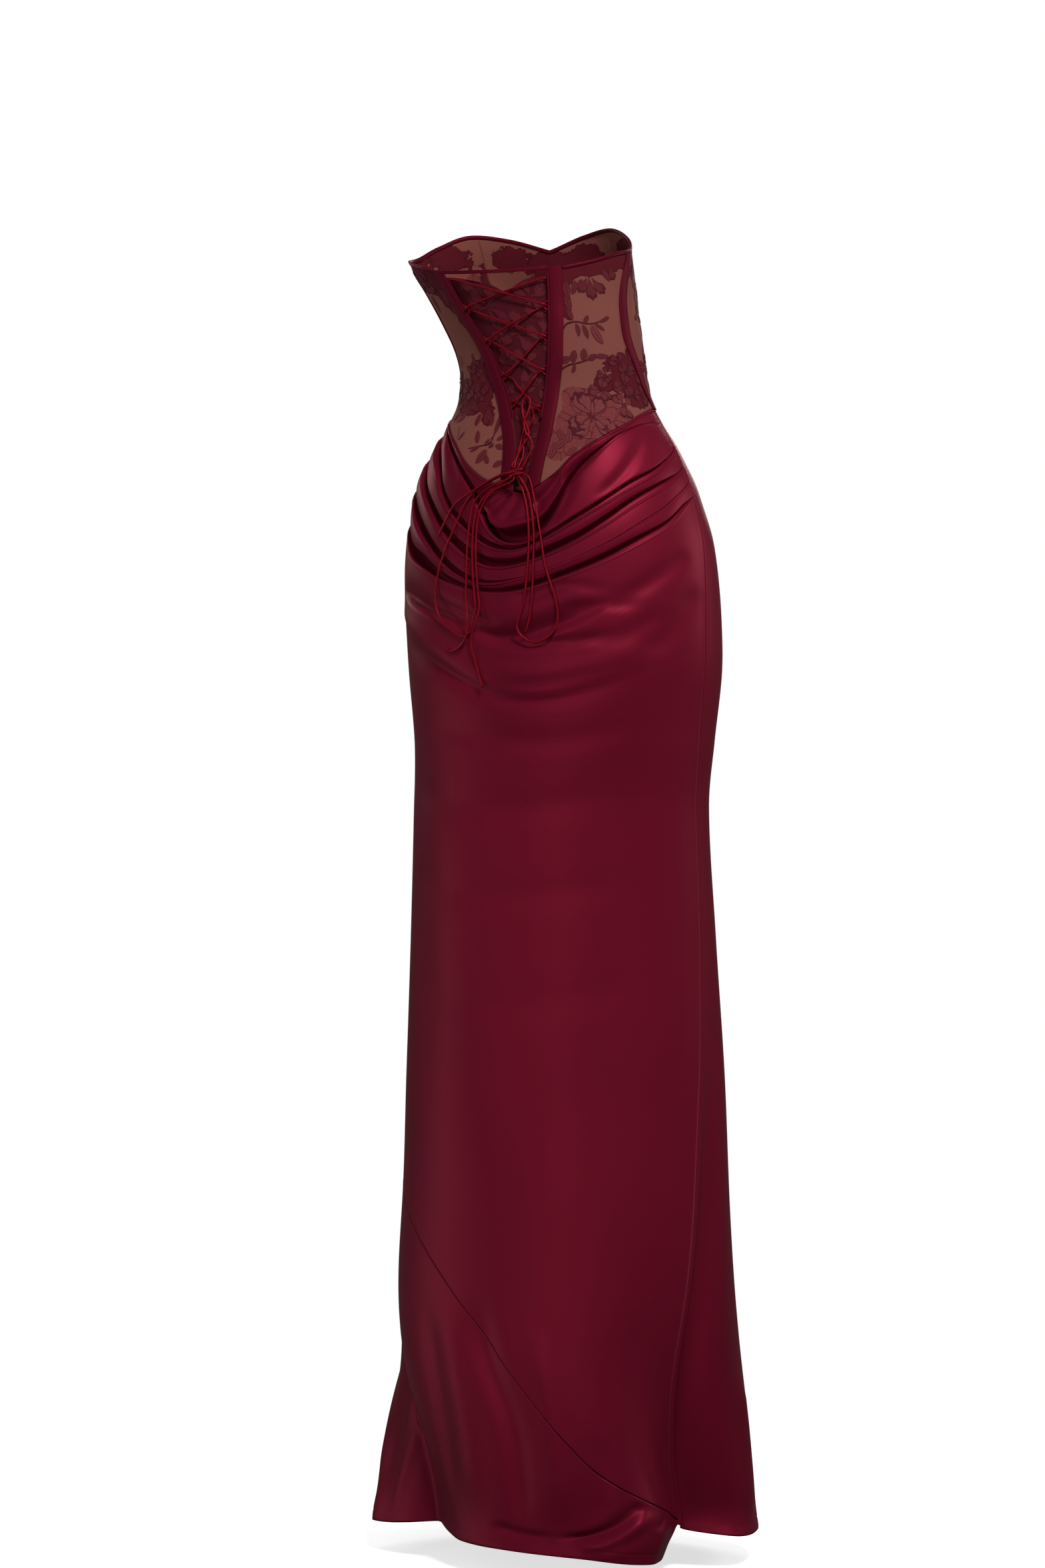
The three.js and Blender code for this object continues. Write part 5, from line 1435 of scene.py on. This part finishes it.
# each casing: its seam, its middle beside it, its half width, its rise and its upper end
CASINGS = {
    "back_left": (left_opening, -7, 7.0, 2.2, casing_top),
    "back_right": (right_opening, 7, 7.0, 2.2, casing_top),
    "side_left": (left_seam_round, 0, 6.0, 2.0, lace_top),
    "side_right": (right_seam, 0, 6.0, 2.0, lace_top),
    "front_left": (left_front, 0, 5.0, 1.9, lace_top),
    "front_right": (right_front, 0, 5.0, 1.9, lace_top),
}
for name, (seam, middle, half, rise, top) in CASINGS.items():
    piece = laid_strip(f"casing_{name}_satin", seam, middle, half, rise, lace_bottom, top)
    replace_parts(piece, f"casing_{name}")
print("casings", len(CASINGS))

# %% [markdown]
# The top edge is bound with a rolled strip of satin, and a thin strap of it joins the two
# sides of the opening.

# %% Bindings
BINDING = {"depth": 4.5, "out": -0.5, "thick": 3.4}
STRAP = {"depth": 4.0, "out": 1.15, "thick": 1.4}
LEFT_TOP, RIGHT_TOP = -95.8, 95.1               # the side seams at the top edge
BOUND_HEIGHT, BOUND_BESIDE = 120.0, 14.6        # where the back bindings begin
STRAP_HEIGHT = 118.0                            # where the strap's ends meet the opening


def rolled(name, from_angle, to_angle, line, columns, depth, out, thick):
    """A roll along an edge: an oval section, so high and so thick, carried round the body."""
    turn = np.linspace(0, 2 * np.pi, 17)
    angle = np.linspace(from_angle, to_angle, columns)[:, None]
    up, away = (0.5 * size * np.sign(wave) * np.abs(wave) ** 0.7
                for size, wave in ((depth, np.sin(turn)), (thick, np.cos(turn))))
    places = np.stack(np.broadcast_arrays(angle, line(angle) + up[None, :], out + away[None, :]), -1)
    return cloth(name, places, TRIM_SATIN, 0)


def binding_line(angle):
    return top_edge(angle) - BINDING["depth"] / 2


def strap_line(angle):
    return top_edge(0) + 1 - 2.5 * np.cos(np.radians(angle * 3))


for name, start, end, columns in (
    ("back_left", LEFT_TOP, float(beside(left_opening, BOUND_HEIGHT, -BOUND_BESIDE)), 60),
    ("back_right", float(beside(right_opening, BOUND_HEIGHT, BOUND_BESIDE)), RIGHT_TOP, 60),
    ("front", RIGHT_TOP + 0.1, LEFT_TOP + 359.9, 180),
):
    piece = rolled(f"binding_{name}_satin", start, end, binding_line, columns, **BINDING)
    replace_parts(piece, f"binding_{name}")
start, end = float(left_opening(STRAP_HEIGHT)) + 0.2, float(right_opening(STRAP_HEIGHT)) - 0.2
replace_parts(rolled("back_strap_satin", start, end, strap_line, 60, **STRAP), "back_strap")
print("bindings 3, strap from", round(start, 1), "to", round(end, 1), "degrees")

# %% [markdown]
# The lacing loops are short lengths of thin cord caught in a narrow tape along each edge.

# %% Loop tapes
def loop_ring(opening, middle, side):
    """A half ring of cord from the tape and back to it."""
    turn = np.radians(np.linspace(-90, 90, 13))
    height = middle + LOOP_REACH * np.sin(turn)
    q = side * (GAP + TAPE["width"] - LOOP_CORD / 2 + LOOP_REACH * np.cos(turn))
    return on_form(beside(opening, height, q), height, 0.0)


for side_name, opening, side in (("left", left_opening, 1), ("right", right_opening, -1)):
    parts = [laid_strip(f"loop_tape_{side_name}_satin", opening, side * (GAP + TAPE["width"] / 2),
                        TAPE["width"] / 2, TAPE["rise"], lambda a: TAPE["bottom"] + 0 * a,
                        lambda a: TAPE["top"] + 0 * a, 60)]
    parts += [tube(f"loop_{side_name}_{k}", loop_ring(opening, height, side), LOOP_CORD / 2, 10)
              for k, height in enumerate(LOOP_HEIGHTS[side_name])]
    for part in parts:
        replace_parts(part, f"loop_tape_{side_name}")
    print("loop tape", side_name, "with", len(parts) - 1, "loops")

# %% [markdown]
# ## What the cloths were cut to
# The skirt's panels' areas are printed beside the size of the cut that shows.

# %% Sheets
def declare(piece, width, length):
    area = cloth_area(piece)
    print(piece.name, "area", round(area, 3), "of", round(width * length, 3))


declare(satin_back, 0.56, 1.34)
declare(satin_lower, 0.5, 0.42)
declare(satin_front, 0.86, 1.26)

# %% [markdown]
# ## Floor, backdrop and light
# A plain pale floor and soft studio light: a broad key from the upper right behind the
# camera, weak fills from behind it and from the lower left, two rim lights from the far side
# that draw the gown's edges, and one light for the front.

# %% Stage
FLOOR_LEVEL, FLOOR_RADIUS, FLOOR_CORNERS = -1.275, 1.3, 64


def floor_finish():
    """White paper that fades out with the distance from the gown's waist."""
    paper = Finish("floor paper")
    away = paper.add("ShaderNodeVectorMath", {"operation": "LENGTH"}, paper.place(), output="Value")
    paper.set(Base_Color=(0.9, 0.9, 0.9, 1), Roughness=0.9, Specular_IOR_Level=0.1,
              Emission_Color=(1, 1, 1, 1), Emission_Strength=0.7, Alpha=1 - away.ramp(1.32, 1.75))
    return paper.material


turn = np.linspace(0, 2 * np.pi, FLOOR_CORNERS + 1)[:-1]
rim = np.stack([FLOOR_RADIUS * np.cos(turn), FLOOR_RADIUS * np.sin(turn), 0 * turn + FLOOR_LEVEL], -1)
floor_mesh = bpy.data.meshes.new("floor")
floor_mesh.from_pydata(rim, [], [tuple(range(FLOOR_CORNERS))])
floor = bpy.data.objects.new("floor", floor_mesh)
bpy.context.scene.collection.objects.link(floor)
floor.data.materials.append(floor_finish())
floor.visible_diffuse = floor.visible_glossy = False


def area_light(name, place, aim, size, power):
    """A square soft light that looks at a point."""
    light = bpy.data.lights.new(name, "AREA")
    light.size, light.energy = size, power
    lamp = bpy.data.objects.new(name, light)
    bpy.context.scene.collection.objects.link(lamp)
    lamp.location = place
    lamp.rotation_euler = (Vector(aim) - Vector(place)).to_track_quat("-Z", "Y").to_euler()


area_light("key", (-2.1, 2.4, 2.9), (0, 0, -0.4), 0.9, 132)
area_light("fill", (0.2, 3.5, 0.1), (0, 0, -0.5), 2.4, 20)
area_light("fill_left", (2.8, 1.2, -1.3), (0, 0, -1.1), 1.8, 13)
area_light("rim_left", (2.4, -1.0, 0.6), (0, 0, -0.4), 0.9, 8)
area_light("rim_right", (-2.4, -1.4, 0.6), (0, 0, -0.4), 0.9, 16)
area_light("front_fill", (0.6, -3.6, 1.2), (0, 0, -0.5), 1.6, 40)
print("lights", len(bpy.data.lights), "floor at", FLOOR_LEVEL)

world = bpy.data.worlds.new("studio")
bpy.context.scene.world = world
world.use_nodes = True
nodes, links = world.node_tree.nodes, world.node_tree.links
backdrop = nodes["Background"]
backdrop.inputs["Color"].default_value = (1, 1, 1, 1)
seen = nodes.new("ShaderNodeLightPath")
brightness = nodes.new("ShaderNodeMapRange")
brightness.inputs["To Min"].default_value = 0.1
brightness.inputs["To Max"].default_value = 1.0
links.new(seen.outputs["Is Camera Ray"], brightness.inputs["Value"])
links.new(brightness.outputs["Result"], backdrop.inputs["Strength"])
